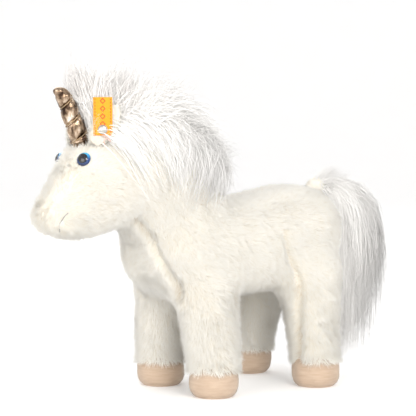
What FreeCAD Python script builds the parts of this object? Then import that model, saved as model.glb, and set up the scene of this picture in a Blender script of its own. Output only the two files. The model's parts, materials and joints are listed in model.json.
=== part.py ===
import FreeCAD, Part
import math
import os

# Standing plush unicorn, millimetres.
# Z is up, the nose points to -Y and the animal's own left side is +X.
# The origin is on the ground, under the middle of the whole toy from nose to tail.

V = FreeCAD.Vector
X_AXIS = V(1, 0, 0)
Y_AXIS = V(0, 1, 0)
Z_AXIS = V(0, 0, 1)
BIG = 600.0

# Cloth and clearances
CLOTH = 1.6          # cloth with its woven backing
GAP = 0.1            # between two layers that lie on each other
SEAM_GAP = 0.1       # between two neighbouring panels
PART_GAP = 1.0       # between two parts that move on each other
BLUNT = 2.5          # body cross-sections: 2 is an ellipse, more is boxier
HEAD_BLUNT = 2.2     # head cross-sections

# Each station is one cross-section in a plane that holds the X direction:
# (upper y, upper z, lower y, lower z, half width)
TORSO = [
    (-76, 116, -76, 102, 10),
    (-70, 130, -70, 88, 27),
    (-55, 143, -55, 76, 37),
    (-25, 146, -25, 72, 39.5),
    (15, 143, 15, 73, 38.5),
    (45, 148, 45, 77, 38.5),
    (73, 150, 73, 83, 38),
    (92, 143, 92, 92, 31),
    (101, 126, 101, 107, 13),
]
NECK = [
    (-15, 124, -67, 104, 31),
    (-9, 147, -80, 116, 34.5),
    (-16, 164, -87, 127, 34),
    (-27, 180, -98, 142, 32.5),
    (-39, 194, -109, 160, 30),
]
HEAD = [
    (-43, 188, -35, 172, 12),
    (-57, 198, -47, 150, 27),
    (-77, 201, -63, 138, 31),
    (-95, 200, -78, 132, 32),
    (-117, 194, -95, 129.5, 30.5),
    (-132, 184.5, -107, 125.5, 26.5),
    (-139, 173, -119, 121.5, 23),
    (-148, 160, -133, 120, 20),
    (-156.5, 149, -146, 121.5, 17),
    (-161.5, 141, -157, 125.5, 11),
    (-163, 136, -161.5, 131, 4),
]
MANE = [
    (0, 158, -31, 139, 24),
    (4, 170, -43, 146, 34),
    (-5, 194, -57, 165, 37),
    (-31, 221, -73, 180, 36),
    (-65, 237, -83, 185, 27),
    (-95, 239, -97, 185, 15.5),
    (-111, 229, -106, 190, 12.5),
    (-118, 216, -114, 200, 7),
]
TAIL = [
    (118, 163, 110, 157, 8),
    (139, 160, 109, 146, 18),
    (155, 140, 108, 128, 25),
    (162, 105, 108.5, 100, 27),
    (163, 72, 111, 70, 26),
    (160, 42, 118, 42, 20),
    (150, 22, 128, 22, 9),
]

# Legs: pivot of the joint, hoof centre, and the ovals down the leg
# (height, half width, half length, y of the centre)
FRONT_LEG = {
    "pivot": V(25, -32, 84),
    "hoof": V(34, -31.2, 0),
    "joint_half_width": 18.5,
    "joint_radius": 23.0,
    "ovals": [(84, 18, 22.4, -32), (60, 18.5, 21, -31.5), (40, 18, 19.3, -31.2), (24, 16.2, 16.2, -31.2)],
}
REAR_LEG = {
    "pivot": V(27, 65, 92),
    "hoof": V(41.5, 61.2, 0),
    "joint_half_width": 19.5,
    "joint_radius": 27.0,
    "ovals": [(92, 19, 26.4, 65), (68, 19, 23, 64), (44, 18, 19, 62), (24, 16.2, 16.2, 61.2)],
}
LEG_SWING = 18.0     # degrees, forwards and backwards
ROOM_STEP = 0.6      # the flared room starts this much inside the joint's own
ROOM_LOW = 50.0      # height at which the flared room ends, below the belly
ROOM_SPLAY = 1.5     # the room grows this much sideways on its way down
HOOF_HEIGHT = 23.5
# Radius of the hoof against height: flat sole edge, belly, narrower top
HOOF_PROFILE = [(0, 14.0), (2.2, 16.8), (8, 18.2), (16, 17.8), (HOOF_HEIGHT, 16.4)]
CORE_GAP = 0.5       # between a leg's filling and its cloth
CORE_OVERLAP = 2.5    # the leg's filling reaches this far down into the hoof's
SOLE_THICKNESS = 2.0
SOLE_RADIUS = 13.9

# Neck joint: the neck sits on the torso like a saddle on a drum
NECK_PIVOT = V(0, -35, 110)
DRUM_RADIUS = 44.0
NECK_REACH = 90.0
MANE_LIFT = 17.0     # the long pile starts this far above the drum
PILE_LIFT = 1.2      # and this far above the cloth beside its backing
NECK_BACK_ANGLE = 50.0
# Head joint: a flat plane through throat and nape
THROAT = V(0, -88, 127)
NAPE = V(0, -35, 182)

# Cloth strips under the mane
BACKING_HALF = 13.0
BACKING_FRONT = -113.0
NECK_BACKING_LOW = 150.0
NECK_BACKING_REAR = 5.0
HEAD_BACKING_LOW = 180.0
HEAD_BACKING_REAR = -51.0

# Head details
GUSSET_HALF = 11.0
EYE = V(0, -132.2, 176.0)
EYE_RADIUS = 5.2
EYE_DOME_DEPTH = 3.2  # the dome's centre lies this far under the cloth
PUPIL_RADIUS = 3.5
PUPIL_FOOT = 0.8     # height of the recess in the iris above the cloth
PUPIL_RISE = 0.5     # the pupil stands this much proud of the iris
STEM_RADIUS = 1.5
STEM_LENGTH = 11.0
WASHER_RADIUS = 5.5
WASHER_DEPTH = 5.0
WASHER_THICKNESS = 1.4
MOUTH_HALF = 20.0
MOUTH_LOW = 124.0
MOUTH_RISE = 15.0    # both corners rise this far, steepest at their ends
THREAD = 0.5
HORN_BASE = V(0, -124.5, 188.5)
HORN_LEAN = 27.0
HORN_LENGTH = 38.0
HORN_RADIUS = 7.1
HORN_TIP = 4.7
HORN_SOCKET = 9.2     # room for the horn's foot and its hem as the horn bends
HORN_CLOTH = 0.7
THREAD_PITCH = 13.0
THREAD_START = 5.0
THREAD_END = 3.0     # below the horn's tip
HEM_HEIGHT = 2.8
HEM_RADIUS = 0.6

# Ears and tag
EAR_ROOT = V(16.5, -123.5, 186.5)
EAR_ROOT_RADIUS = 4.5
EAR_SOCKET_GAP = 0.6
EAR_CLEARANCE = 1.2  # room for the flopping leaf above the head
EAR_FACE = V(0.8, -0.6, 0)
EAR_TIP = V(0.3, 0.4, 0.86)
EAR_LENGTH = 31.0
EAR_WIDTH = 17.0
EAR_BASE_HALF = 3.5
EAR_BACK = 1.5       # thickness of the pile cloth at the back
EAR_LINING = 1.2
LINING_MARGIN = 1.5  # the lining is this much smaller than the back
TAG_WIDTH = 13.5
TAG_HEIGHT = 27.0
TAG_THICKNESS = 0.7
TAG_BELOW_BUTTON = 4.2
TAG_FRONT = 1.6      # the tag's back face, ahead of the ear's middle plane
BUTTON_ALONG = 12.0
BUTTON_RADIUS = 3.4
BUTTON_DOME_DEPTH = 3.6
SHANK_RADIUS = 0.9
SHANK_BACK = -3.2
RIVET_RADIUS = 2.4
RIVET_THICKNESS = 0.9

# Tail
DOCK = V(0, 96, 149)
DOCK_RADIUS = 8.0
STEM_WIDE = 6.5      # the dock's stem narrows from this radius
STEM_NARROW = 5.5
DOCK_END = 106.5
TUFT_START = 107.5
TUFT_ROOT_HEIGHT = 150.5
TAIL_CORE_TOP = V(0, 111.5, 152)
TAIL_CORE_WAY = V(0, 0.45, -0.89)
TAIL_CORE_LENGTH = 55.0
TAIL_CORE_RADIUS = 3.5
TUFT_ROOT_RADIUS = 3.4

# Panels that split the covers: half width, front and rear y, low and high z
CHEST_PANEL = (24, -85, -47, 60, 124)
BELLY_PANEL = (14, -48, 99, 60, 98)
THROAT_PANEL = (20, -115, -71, 90, 160)
FACE_PANEL_REAR = -61.0
FACE_PANEL_EDGE = V(0, -153, 140)
FACE_PANEL_UP = V(0, -0.42, 0.91)
ABOVE_ALL = 240.0


def oval(centre, half_width, half_height, power=2.0):
    """Closed smooth outline: half_width along X, half_height is a vector."""
    points = []
    count = 16
    for step in range(count):
        angle = 2 * math.pi * step / count
        c = math.cos(angle)
        s = math.sin(angle)
        across = math.copysign(abs(c) ** (2 / power), c)
        upward = math.copysign(abs(s) ** (2 / power), s)
        points.append(centre + X_AXIS * (half_width * across) + half_height * upward)
    curve = Part.BSplineCurve()
    curve.interpolate(points, PeriodicFlag=True)
    return Part.Wire([curve.toShape()])


def loft(stations, grow=0.0, power=2.0):
    """Solid through the stations, made larger all round by grow."""
    middles = [V(0, (s[0] + s[2]) / 2, (s[1] + s[3]) / 2) for s in stations]
    last = len(stations) - 1
    outlines = []
    for index, station in enumerate(stations):
        half = V(0, (station[0] - station[2]) / 2, (station[1] - station[3]) / 2)
        centre = middles[index]
        if index == 0:
            centre = centre + (middles[0] - middles[1]).normalize() * grow
        if index == last:
            centre = centre + (middles[last] - middles[last - 1]).normalize() * grow
        tall = max(half.Length + grow, 1.0)
        wide = max(station[4] + grow, 1.0)
        outlines.append(oval(centre, wide, half.normalize() * tall, power))
    return Part.makeLoft(outlines, True, False)


def half_space(point, normal):
    """Everything on the side of the plane that the normal points to."""
    block = Part.makeBox(BIG, BIG, BIG, V(-BIG / 2, -BIG / 2, 0))
    block.Placement = FreeCAD.Placement(point, FreeCAD.Rotation(Z_AXIS, normal))
    return block


def slab(half_x, y_low, y_high, z_low, z_high):
    """Upright box centred on the plane of symmetry."""
    return Part.makeBox(2 * half_x, y_high - y_low, z_high - z_low, V(-half_x, y_low, z_low))


def panel_box(panel, margin=0.0):
    """Box that picks one panel out of a cover; margin widens its free edges."""
    half, front, rear, low, high = panel
    return slab(half + margin, front, rear + margin, low, high + margin)


def left_half(shape):
    return shape.common(half_space(V(SEAM_GAP / 2, 0, 0), X_AXIS))


def right_half(shape):
    return shape.common(half_space(V(-SEAM_GAP / 2, 0, 0), -X_AXIS))


def mirror(shape):
    """The same part on the other side of the animal."""
    return shape.mirror(V(0, 0, 0), X_AXIS)


def ball(centre, radius):
    return Part.makeSphere(radius, centre)


def rod(start, direction, length, radius):
    return Part.makeCylinder(radius, length, start, direction)


def joint_disc(pivot, half_width, radius):
    """Ellipsoid that is round about the X line through the pivot."""
    points = []
    count = 12
    for step in range(count + 1):
        angle = math.pi * step / count
        points.append(V(half_width * math.cos(angle), 0, radius * math.sin(angle)))
    profile = Part.BSplineCurve()
    profile.interpolate(points)
    face = Part.Face(Part.Wire([profile.toShape(), Part.makeLine(points[-1], points[0])]))
    body = face.revolve(V(0, 0, 0), X_AXIS, 360)
    body.translate(pivot)
    return body


def lathe(centre, profile, grow=0.0):
    """Round body from (height, radius) pairs about a vertical line."""
    points = [centre + V(max(r + grow, 0.5), 0, z) for z, r in profile]
    curve = Part.BSplineCurve()
    curve.interpolate(points)
    top = centre + V(0, 0, profile[-1][0])
    bottom = centre + V(0, 0, profile[0][0])
    edges = [curve.toShape(), Part.makeLine(points[-1], top), Part.makeLine(top, bottom)]
    edges.append(Part.makeLine(bottom, points[0]))
    return Part.Face(Part.Wire(edges)).revolve(bottom, Z_AXIS, 360)


def leg_axis_x(leg, height):
    """The legs splay above the hoof: x of the leg's centre line at a height."""
    share = max(height - HOOF_HEIGHT, 0.0) / (leg["pivot"].z - HOOF_HEIGHT)
    return leg["hoof"].x + (leg["pivot"].x - leg["hoof"].x) * share


def leg_body(leg, grow, bottom_drop=0.0):
    """Upper leg and its rounded joint end as one solid."""
    outlines = []
    for index, (height, half_width, half_length, y) in enumerate(leg["ovals"]):
        if index == len(leg["ovals"]) - 1:
            height = height - bottom_drop
        centre = V(leg_axis_x(leg, height), y, height)
        outlines.append(oval(centre, half_width + grow, Y_AXIS * (half_length + grow)))
    shaft = Part.makeLoft(outlines, True, False)
    disc = joint_disc(leg["pivot"], leg["joint_half_width"] + grow, leg["joint_radius"] + grow)
    return shaft.fuse(disc)


def leg_room(leg):
    """Space the leg needs inside the torso at every angle of its swing."""
    pivot = leg["pivot"]
    wide = leg["joint_half_width"] + PART_GAP
    radius = leg["joint_radius"] + PART_GAP
    swing = math.radians(LEG_SWING)
    top_half = radius / math.cos(swing)
    flare = top_half + (pivot.z - ROOM_LOW) * math.tan(swing)
    upper = oval(pivot, wide - ROOM_STEP, Y_AXIS * top_half)
    lower = oval(V(leg_axis_x(leg, ROOM_LOW), pivot.y, ROOM_LOW), wide + ROOM_SPLAY, Y_AXIS * flare)
    return Part.makeLoft([upper, lower], True, False).fuse(joint_disc(pivot, wide, radius))


def all_leg_rooms():
    rooms = []
    for leg in (FRONT_LEG, REAR_LEG):
        room = leg_room(leg)
        rooms.append(room)
        rooms.append(mirror(room))
    return rooms


def neck_drum(radius):
    """Drum about the neck pivot that parts torso and neck."""
    return rod(NECK_PIVOT - X_AXIS * 100, X_AXIS, 200, radius)


def neck_room():
    """Ring-shaped space round the drum that the neck swings through."""
    ring = neck_drum(NECK_REACH).cut(neck_drum(DRUM_RADIUS))
    back = math.radians(NECK_BACK_ANGLE)
    ahead_of_back = half_space(NECK_PIVOT, V(0, -math.cos(back), math.sin(back)))
    above_chest = half_space(NECK_PIVOT + V(0, 0, -6), V(0, 0, 1))
    return ring.common(ahead_of_back).common(above_chest)


def cut_all(shape, tools):
    for tool in tools:
        shape = shape.cut(tool)
    return shape


def torso_parts():
    outer = loft(TORSO, 0, BLUNT)
    inner = loft(TORSO, -CLOTH, BLUNT)
    core = loft(TORSO, -CLOTH - GAP, BLUNT)
    rooms = all_leg_rooms() + [neck_room(), ball(DOCK, DOCK_RADIUS + PART_GAP)]
    shell = cut_all(outer.cut(inner), rooms)
    filling = cut_all(core, rooms)
    gusset = shell.common(panel_box(CHEST_PANEL).fuse(panel_box(BELLY_PANEL)))
    sides = shell.cut(panel_box(CHEST_PANEL, SEAM_GAP)).cut(panel_box(BELLY_PANEL, SEAM_GAP))
    return {
        "torso_cover_left": left_half(sides),
        "torso_cover_right": right_half(sides),
        "chest_and_belly_gusset": gusset,
        "torso_filling": filling,
    }


def head_plane_normal():
    """Points from the neck into the head."""
    along = NAPE - THROAT
    return V(0, -along.z, along.y).normalize()


def neck_side():
    normal = head_plane_normal()
    return half_space(THROAT - normal * (PART_GAP / 2), -normal)


def head_side():
    normal = head_plane_normal()
    return half_space(THROAT + normal * (PART_GAP / 2), normal)


def neck_solid(grow):
    return loft(NECK, grow, BLUNT)


def mane_backing(body, side, low, rear):
    """Cloth strip on the nape that carries the long pile."""
    strip = body(CLOTH).cut(body(GAP))
    strip = strip.common(side).common(slab(BACKING_HALF, BACKING_FRONT, rear, low, ABOVE_ALL))
    return max(strip.Solids, key=lambda solid: solid.Volume)


def neck_parts():
    side = neck_side()
    drum = neck_drum(DRUM_RADIUS + PART_GAP)
    shell = neck_solid(0).cut(neck_solid(-CLOTH)).common(side).cut(drum)
    filling = neck_solid(-CLOTH - GAP).common(side).cut(drum)
    throat = shell.common(panel_box(THROAT_PANEL))
    rest = shell.cut(panel_box(THROAT_PANEL, SEAM_GAP))
    backing = mane_backing(neck_solid, side, NECK_BACKING_LOW, NECK_BACKING_REAR).cut(drum)
    pile = loft(MANE).common(side).cut(neck_drum(DRUM_RADIUS + MANE_LIFT)).cut(neck_solid(PILE_LIFT))
    pile = pile.cut(backing_room(neck_solid, NECK_BACKING_LOW, NECK_BACKING_REAR))
    return {
        "neck_cover_left": left_half(rest),
        "neck_cover_right": right_half(rest),
        "throat_panel": throat,
        "neck_filling": filling,
        "mane_backing": backing,
        "mane_pile": pile,
    }


def backing_room(body, low, rear):
    """Room for the backing strip under the pile."""
    margin = 6 * GAP
    zone = slab(BACKING_HALF + margin, BACKING_FRONT - margin, rear + margin, low - margin, ABOVE_ALL)
    return body(CLOTH + margin).common(zone)


def head_solid(grow):
    return loft(HEAD, grow, HEAD_BLUNT)


def surface_x(body, y, z):
    """Where a sideways line through (y, z) leaves the body on the left."""
    line = Part.makeLine(V(0, y, z), V(80, y, z))
    cut = line.common(body)
    return cut.BoundBox.XMax


def surface_front(body, x, z):
    """Foremost point of the body on a line along Y."""
    line = Part.makeLine(V(x, -BIG / 2, z), V(x, THROAT.y, z))
    cut = line.common(body)
    return V(x, cut.BoundBox.YMin, z)


def eye_frame(body):
    """Eye place on the cloth and the outward direction there."""
    place = V(surface_x(body, EYE.y, EYE.z), EYE.y, EYE.z)
    ahead = V(surface_x(body, EYE.y - 2, EYE.z), EYE.y - 2, EYE.z)
    above = V(surface_x(body, EYE.y, EYE.z + 2), EYE.y, EYE.z + 2)
    outward = (above - place).cross(ahead - place).normalize()
    if outward.x < 0:
        outward = outward * -1
    return place, outward


def eye_parts(body):
    """Safety eye: iris dome, pupil set in it, post and lock washer."""
    place, outward = eye_frame(body)
    centre = place - outward * EYE_DOME_DEPTH
    iris = ball(centre, math.hypot(EYE_RADIUS, EYE_DOME_DEPTH + GAP))
    iris = iris.common(half_space(place + outward * GAP, outward))
    recess = rod(place + outward * PUPIL_FOOT, outward, STEM_LENGTH, PUPIL_RADIUS + GAP / 2)
    pupil = ball(centre, math.hypot(EYE_RADIUS, EYE_DOME_DEPTH) + PUPIL_RISE)
    pupil = pupil.common(rod(place + outward * (PUPIL_FOOT + GAP), outward, STEM_LENGTH, PUPIL_RADIUS))
    stem = rod(place - outward * STEM_LENGTH, outward, STEM_LENGTH + GAP / 2, STEM_RADIUS)
    washer = rod(place - outward * WASHER_DEPTH, outward, WASHER_THICKNESS, WASHER_RADIUS)
    washer = washer.cut(rod(place - outward * STEM_LENGTH, outward, STEM_LENGTH, STEM_RADIUS + GAP / 2))
    return iris.cut(recess), pupil, stem, washer


def eye_room(body):
    """Holes in cloth and filling for the post and the washer."""
    place, outward = eye_frame(body)
    post = rod(place - outward * (STEM_LENGTH + GAP), outward, 1.3 * STEM_LENGTH, STEM_RADIUS + GAP)
    washer_foot = place - outward * (WASHER_DEPTH + GAP)
    washer = rod(washer_foot, outward, WASHER_THICKNESS + 2 * GAP, WASHER_RADIUS + GAP)
    return post.fuse(washer)


def pair(shape):
    return Part.makeCompound([shape, mirror(shape)])


def mouth_stitch(body):
    """One thread round the muzzle that rises to both corners."""
    points = []
    count = 16
    for step in range(-count, count + 1):
        share = step / count
        z = MOUTH_LOW + MOUTH_RISE * share ** 4
        points.append(surface_front(body, MOUTH_HALF * share, z))
    path = Part.BSplineCurve()
    path.interpolate(points)
    spine = Part.Wire([path.toShape()])
    start = path.tangent(path.FirstParameter)[0]
    ring = Part.Wire([Part.Circle(points[0], start, THREAD).toShape()])
    return spine.makePipeShell([ring], True, True).cut(head_solid(0))


def horn_axis():
    lean = math.radians(HORN_LEAN)
    return V(0, -math.sin(lean), math.cos(lean))


def horn_solid(grow):
    """Tapered round horn with a ball at its foot and a blunt tip."""
    axis = horn_axis()
    cone = Part.makeCone(HORN_RADIUS + grow, HORN_TIP + grow, HORN_LENGTH, HORN_BASE, axis)
    tip = ball(HORN_BASE + axis * HORN_LENGTH, HORN_TIP + grow)
    foot = ball(HORN_BASE, HORN_RADIUS + grow)
    return cone.fuse(tip).fuse(foot)


def horn_thread():
    """Spiral winding that nips the horn into segments."""
    points = []
    count = 36
    height = HORN_LENGTH - THREAD_START - THREAD_END
    for step in range(count + 1):
        z = THREAD_START + height * step / count
        angle = 2 * math.pi * (z - THREAD_START) / THREAD_PITCH
        radius = HORN_RADIUS + (HORN_TIP - HORN_RADIUS) * z / HORN_LENGTH + THREAD + GAP
        points.append(V(radius * math.cos(angle), radius * math.sin(angle), z))
    path = Part.BSplineCurve()
    path.interpolate(points)
    start_way = path.tangent(path.FirstParameter)[0]
    ring = Part.Wire([Part.Circle(points[0], start_way, THREAD).toShape()])
    thread = Part.Wire([path.toShape()]).makePipeShell([ring], True, True)
    thread.Placement = FreeCAD.Placement(HORN_BASE, FreeCAD.Rotation(Z_AXIS, horn_axis()))
    return thread


def horn_hem():
    """Rolled hem round the foot of the horn."""
    place = HORN_BASE + horn_axis() * HEM_HEIGHT
    return Part.makeTorus(HORN_RADIUS + HEM_RADIUS + GAP, HEM_RADIUS, place, horn_axis())


def horn_parts():
    cover = horn_solid(0).cut(horn_solid(-HORN_CLOTH))
    return {
        "horn_cover": cover,
        "horn_filling": horn_solid(-HORN_CLOTH - GAP),
        "horn_winding_thread": horn_thread(),
        "horn_base_hem": horn_hem(),
    }


def head_parts():
    side = head_side()
    outer = head_solid(0)
    rooms = [ball(HORN_BASE, HORN_SOCKET), eye_room(outer), mirror(eye_room(outer))]
    ear_socket = ball(EAR_ROOT, EAR_ROOT_RADIUS + EAR_SOCKET_GAP)
    rooms = rooms + [ear_socket, mirror(ear_socket)]
    shell = cut_all(outer.cut(head_solid(-CLOTH)).common(side), rooms)
    filling = cut_all(head_solid(-CLOTH - GAP).common(side), rooms)
    gusset = shell.common(face_zone(GUSSET_HALF))
    rest = shell.cut(face_zone(GUSSET_HALF + SEAM_GAP))
    iris, pupil, stem, washer = eye_parts(outer)
    backing = mane_backing(head_solid, side, HEAD_BACKING_LOW, HEAD_BACKING_REAR)
    pile = loft(MANE).common(side).cut(head_solid(PILE_LIFT))
    pile = pile.cut(backing_room(head_solid, HEAD_BACKING_LOW, HEAD_BACKING_REAR))
    pile = pile.cut(backing).cut(outer)
    return {
        "head_cover_left": left_half(rest),
        "head_cover_right": right_half(rest),
        "face_gusset": gusset,
        "head_filling": filling,
        "eye_irises": pair(iris),
        "eye_pupils": pair(pupil),
        "eye_posts": pair(stem),
        "eye_lock_washers": pair(washer),
        "mouth_stitch": mouth_stitch(head_solid(THREAD + 3 * GAP)),
        "forelock_backing": backing,
        "forelock_pile": pile,
    }


def face_zone(half):
    """Strip over the top of the head from the nose to the poll."""
    upper = half_space(FACE_PANEL_EDGE, FACE_PANEL_UP)
    return slab(half, -BIG / 2, FACE_PANEL_REAR, 0, ABOVE_ALL).common(upper)


def ear_frame():
    """Across, along and facing directions of the left ear."""
    along = V(EAR_TIP).normalize()
    facing = V(EAR_FACE).normalize()
    across = along.cross(facing).normalize()
    return across, along, facing


def leaf(width, length, thickness, front):
    """Pointed leaf in the ear's own plane, its back face at front."""
    across, along, facing = ear_frame()
    foot = EAR_ROOT + facing * front
    half = width / 2
    left = foot - across * EAR_BASE_HALF
    right = foot + across * EAR_BASE_HALF
    widest = foot + along * (length * 0.45)
    left_bulge = widest - across * half
    right_bulge = widest + across * half
    tip = foot + along * length
    sides = []
    for near, bulge in ((left, left_bulge), (right, right_bulge)):
        curve = Part.BSplineCurve()
        curve.interpolate([near, bulge, tip])
        sides.append(curve.toShape())
    outline = Part.Wire([sides[0], sides[1].reversed(), Part.makeLine(right, left)])
    return Part.Face(outline).extrude(facing * thickness)


def button_place():
    across, along, facing = ear_frame()
    return EAR_ROOT + along * BUTTON_ALONG


def ear_layers():
    """Furry back layer with the gathered root, and the lining in front."""
    across, along, facing = ear_frame()
    skull = head_solid(EAR_CLEARANCE)
    back = leaf(EAR_WIDTH, EAR_LENGTH, EAR_BACK, -EAR_BACK - GAP).cut(skull)
    back = back.fuse(ball(EAR_ROOT, EAR_ROOT_RADIUS))
    in_front = half_space(EAR_ROOT - facing * (GAP / 2), facing)
    above_root = half_space(EAR_ROOT + along * EAR_ROOT_RADIUS, along)
    back = back.cut(in_front.common(above_root))
    lining = leaf(EAR_WIDTH - LINING_MARGIN, EAR_LENGTH - LINING_MARGIN, EAR_LINING, 0.0)
    lining = lining.cut(ball(EAR_ROOT, EAR_ROOT_RADIUS + GAP)).cut(skull)
    hole = shank_line(SHANK_RADIUS + GAP)
    return back.cut(hole), lining.cut(hole)


def shank_line(radius):
    """Long rod on the line of the button's shank."""
    across, along, facing = ear_frame()
    return rod(button_place() - facing * 10, facing, 30, radius)


def tag_and_button():
    """Woven tag hanging on a rivet button near the ear's root."""
    across, along, facing = ear_frame()
    place = button_place()
    sideways = Z_AXIS.cross(facing).normalize()
    corner = place + facing * TAG_FRONT - sideways * (TAG_WIDTH / 2) - Z_AXIS * TAG_BELOW_BUTTON
    frame = FreeCAD.Placement(corner, FreeCAD.Rotation(sideways, Z_AXIS, sideways.cross(Z_AXIS)))
    tag = Part.makeBox(TAG_WIDTH, TAG_HEIGHT, TAG_THICKNESS)
    tag.Placement = frame
    tag = tag.cut(shank_line(SHANK_RADIUS + GAP))
    cap_foot = place + facing * (TAG_FRONT + TAG_THICKNESS + GAP)
    shank_length = TAG_FRONT + TAG_THICKNESS + 0.5 - SHANK_BACK
    shank = rod(place + facing * SHANK_BACK, facing, shank_length, SHANK_RADIUS)
    cap = ball(cap_foot - facing * BUTTON_DOME_DEPTH, math.hypot(BUTTON_RADIUS, BUTTON_DOME_DEPTH))
    cap = cap.common(half_space(cap_foot, facing))
    rivet = rod(place + facing * (SHANK_BACK - 0.6), facing, RIVET_THICKNESS, RIVET_RADIUS)
    return tag, shank.fuse(cap).fuse(rivet)


def ear_parts():
    back, lining = ear_layers()
    tag, button = tag_and_button()
    return {
        "ear_back_left": back,
        "ear_lining_left": lining,
        "ear_back_right": mirror(back),
        "ear_lining_right": mirror(lining),
        "ear_tag": tag,
        "tag_button": button,
    }


def leg_parts(leg, prefix, flip):
    """Two cloth panels, one filling, the hoof wrap and its sole."""
    foot = V(leg["hoof"].x, leg["hoof"].y, 0)
    outer = leg_body(leg, 0)
    shell = outer.cut(leg_body(leg, -CLOTH, 1.0))
    lean = (leg["pivot"].x - leg["hoof"].x) / (leg["pivot"].z - HOOF_HEIGHT)
    across = V(1, 0, -lean).normalize()
    middle = V(leg["hoof"].x, 0, HOOF_HEIGHT)
    outside = shell.common(half_space(middle + across * (SEAM_GAP / 2), across))
    inside = shell.common(half_space(middle - across * (SEAM_GAP / 2), -across))
    wrap = lathe(foot, HOOF_PROFILE).cut(lathe(foot, HOOF_PROFILE, -CLOTH))
    wrap = wrap.cut(rod(foot, Z_AXIS, SOLE_THICKNESS + GAP, SOLE_RADIUS + GAP))
    sole = rod(foot, Z_AXIS, SOLE_THICKNESS, SOLE_RADIUS)
    above_sole = half_space(V(0, 0, SOLE_THICKNESS + GAP), Z_AXIS)
    hoof_core = lathe(foot, HOOF_PROFILE, -CLOTH - GAP).common(above_sole)
    leg_core = leg_body(leg, -CLOTH - CORE_GAP, CORE_OVERLAP)
    filling = leg_core.fuse(hoof_core)
    parts = {
        prefix + "_leg_cover_outer": outside,
        prefix + "_leg_cover_inner": inside,
        prefix + "_leg_filling": filling,
        prefix + "_hoof_wrap": wrap,
        prefix + "_hoof_sole": sole,
    }
    if flip:
        for name in parts:
            parts[name] = mirror(parts[name])
    return parts


def dock_knob(grow):
    """Ball on the rump with a short stem towards the tuft."""
    stem = Part.makeCone(STEM_WIDE + grow, STEM_NARROW + grow, DOCK_END - DOCK.y, DOCK, Y_AXIS)
    return ball(DOCK, DOCK_RADIUS + grow).fuse(stem)


def tail_core(grow):
    """Cloth roll inside the tuft, with its root at the dock."""
    roll = rod(TAIL_CORE_TOP, V(TAIL_CORE_WAY).normalize(), TAIL_CORE_LENGTH + grow, TAIL_CORE_RADIUS + grow)
    root_length = TAIL_CORE_TOP.y - TUFT_START + 1.0
    root = rod(V(0, TUFT_START - grow, TUFT_ROOT_HEIGHT), Y_AXIS, root_length + 2 * grow, TUFT_ROOT_RADIUS + grow)
    return roll.fuse(root)


def tail_parts():
    """Dock on the rump, and the tuft with its cloth core."""
    before_end = half_space(V(0, DOCK_END, 0), -Y_AXIS)
    after_start = half_space(V(0, TUFT_START, 0), Y_AXIS)
    return {
        "tail_dock_cover": dock_knob(0).cut(dock_knob(-CLOTH)).common(before_end),
        "tail_dock_filling": dock_knob(-CLOTH - GAP).common(before_end),
        "tail_core": tail_core(0).common(after_start),
        "tail_pile": loft(TAIL).common(after_start).cut(tail_core(GAP)),
    }


def all_parts():
    parts = {}
    parts.update(torso_parts())
    parts.update(neck_parts())
    parts.update(head_parts())
    parts.update(horn_parts())
    parts.update(ear_parts())
    parts.update(leg_parts(FRONT_LEG, "front_left", False))
    parts.update(leg_parts(FRONT_LEG, "front_right", True))
    parts.update(leg_parts(REAR_LEG, "rear_left", False))
    parts.update(leg_parts(REAR_LEG, "rear_right", True))
    parts.update(tail_parts())
    return parts


os.makedirs("parts", exist_ok=True)
for name, shape in all_parts().items():
    print(name, len(shape.Solids), round(shape.Volume, 1), shape.isValid(), shape.BoundBox)
    shape.exportStep("parts/" + name + ".step")
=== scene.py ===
import bmesh
import bpy
import json
import math
import numpy as np
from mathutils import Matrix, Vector
from mathutils.bvhtree import BVHTree


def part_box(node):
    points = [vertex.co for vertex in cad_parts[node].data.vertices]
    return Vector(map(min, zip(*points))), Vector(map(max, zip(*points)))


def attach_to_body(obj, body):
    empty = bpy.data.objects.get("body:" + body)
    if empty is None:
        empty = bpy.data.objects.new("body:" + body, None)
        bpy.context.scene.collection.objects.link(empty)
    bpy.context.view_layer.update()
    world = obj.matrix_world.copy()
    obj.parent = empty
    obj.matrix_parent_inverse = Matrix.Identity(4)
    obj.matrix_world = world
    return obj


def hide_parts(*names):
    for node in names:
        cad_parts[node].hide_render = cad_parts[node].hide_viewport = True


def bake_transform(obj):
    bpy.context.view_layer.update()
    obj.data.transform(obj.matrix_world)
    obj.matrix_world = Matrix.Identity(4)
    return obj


# Plush unicorn: the looks, in metres, in the CAD model's own frame.
# Z is up, the nose points to -Y and the animal's own left side is +X.
# Tables of places are in millimetres.

MM = 0.001
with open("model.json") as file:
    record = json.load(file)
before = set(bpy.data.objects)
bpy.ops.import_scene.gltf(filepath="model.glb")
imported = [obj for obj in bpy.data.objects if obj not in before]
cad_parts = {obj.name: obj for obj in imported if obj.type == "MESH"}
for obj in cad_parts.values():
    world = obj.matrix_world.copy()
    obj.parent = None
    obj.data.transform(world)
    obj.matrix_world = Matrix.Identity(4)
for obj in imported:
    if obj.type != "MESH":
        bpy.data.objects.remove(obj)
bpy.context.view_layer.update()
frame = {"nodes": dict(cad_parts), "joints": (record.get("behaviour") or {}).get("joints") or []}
NODES = frame["nodes"]
JOINTS = {joint["name"]: joint for joint in frame["joints"]}
LEGS = ("front_left", "front_right", "rear_left", "rear_right")
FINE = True

# Skin and pile
CLOTH_OUT = 1.7 * MM       # filling surface to the outer face of the cloth
CLOSE_GAPS = 4.0 * MM      # swelling that closes the gaps between the CAD solids
VOXEL = 2.4 * MM
CLOTH_VOXEL = 4.5 * MM
PUFF_FRAMES = 20
PUFF_CAP = 2.2 * MM
PUFF_TAKEN_BACK = 0.7 * MM
PUFF_PRESSURE = 4.0
PUFF_MASS = 0.012
CLOTH_STRETCH_STIFFNESS = 15
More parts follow.
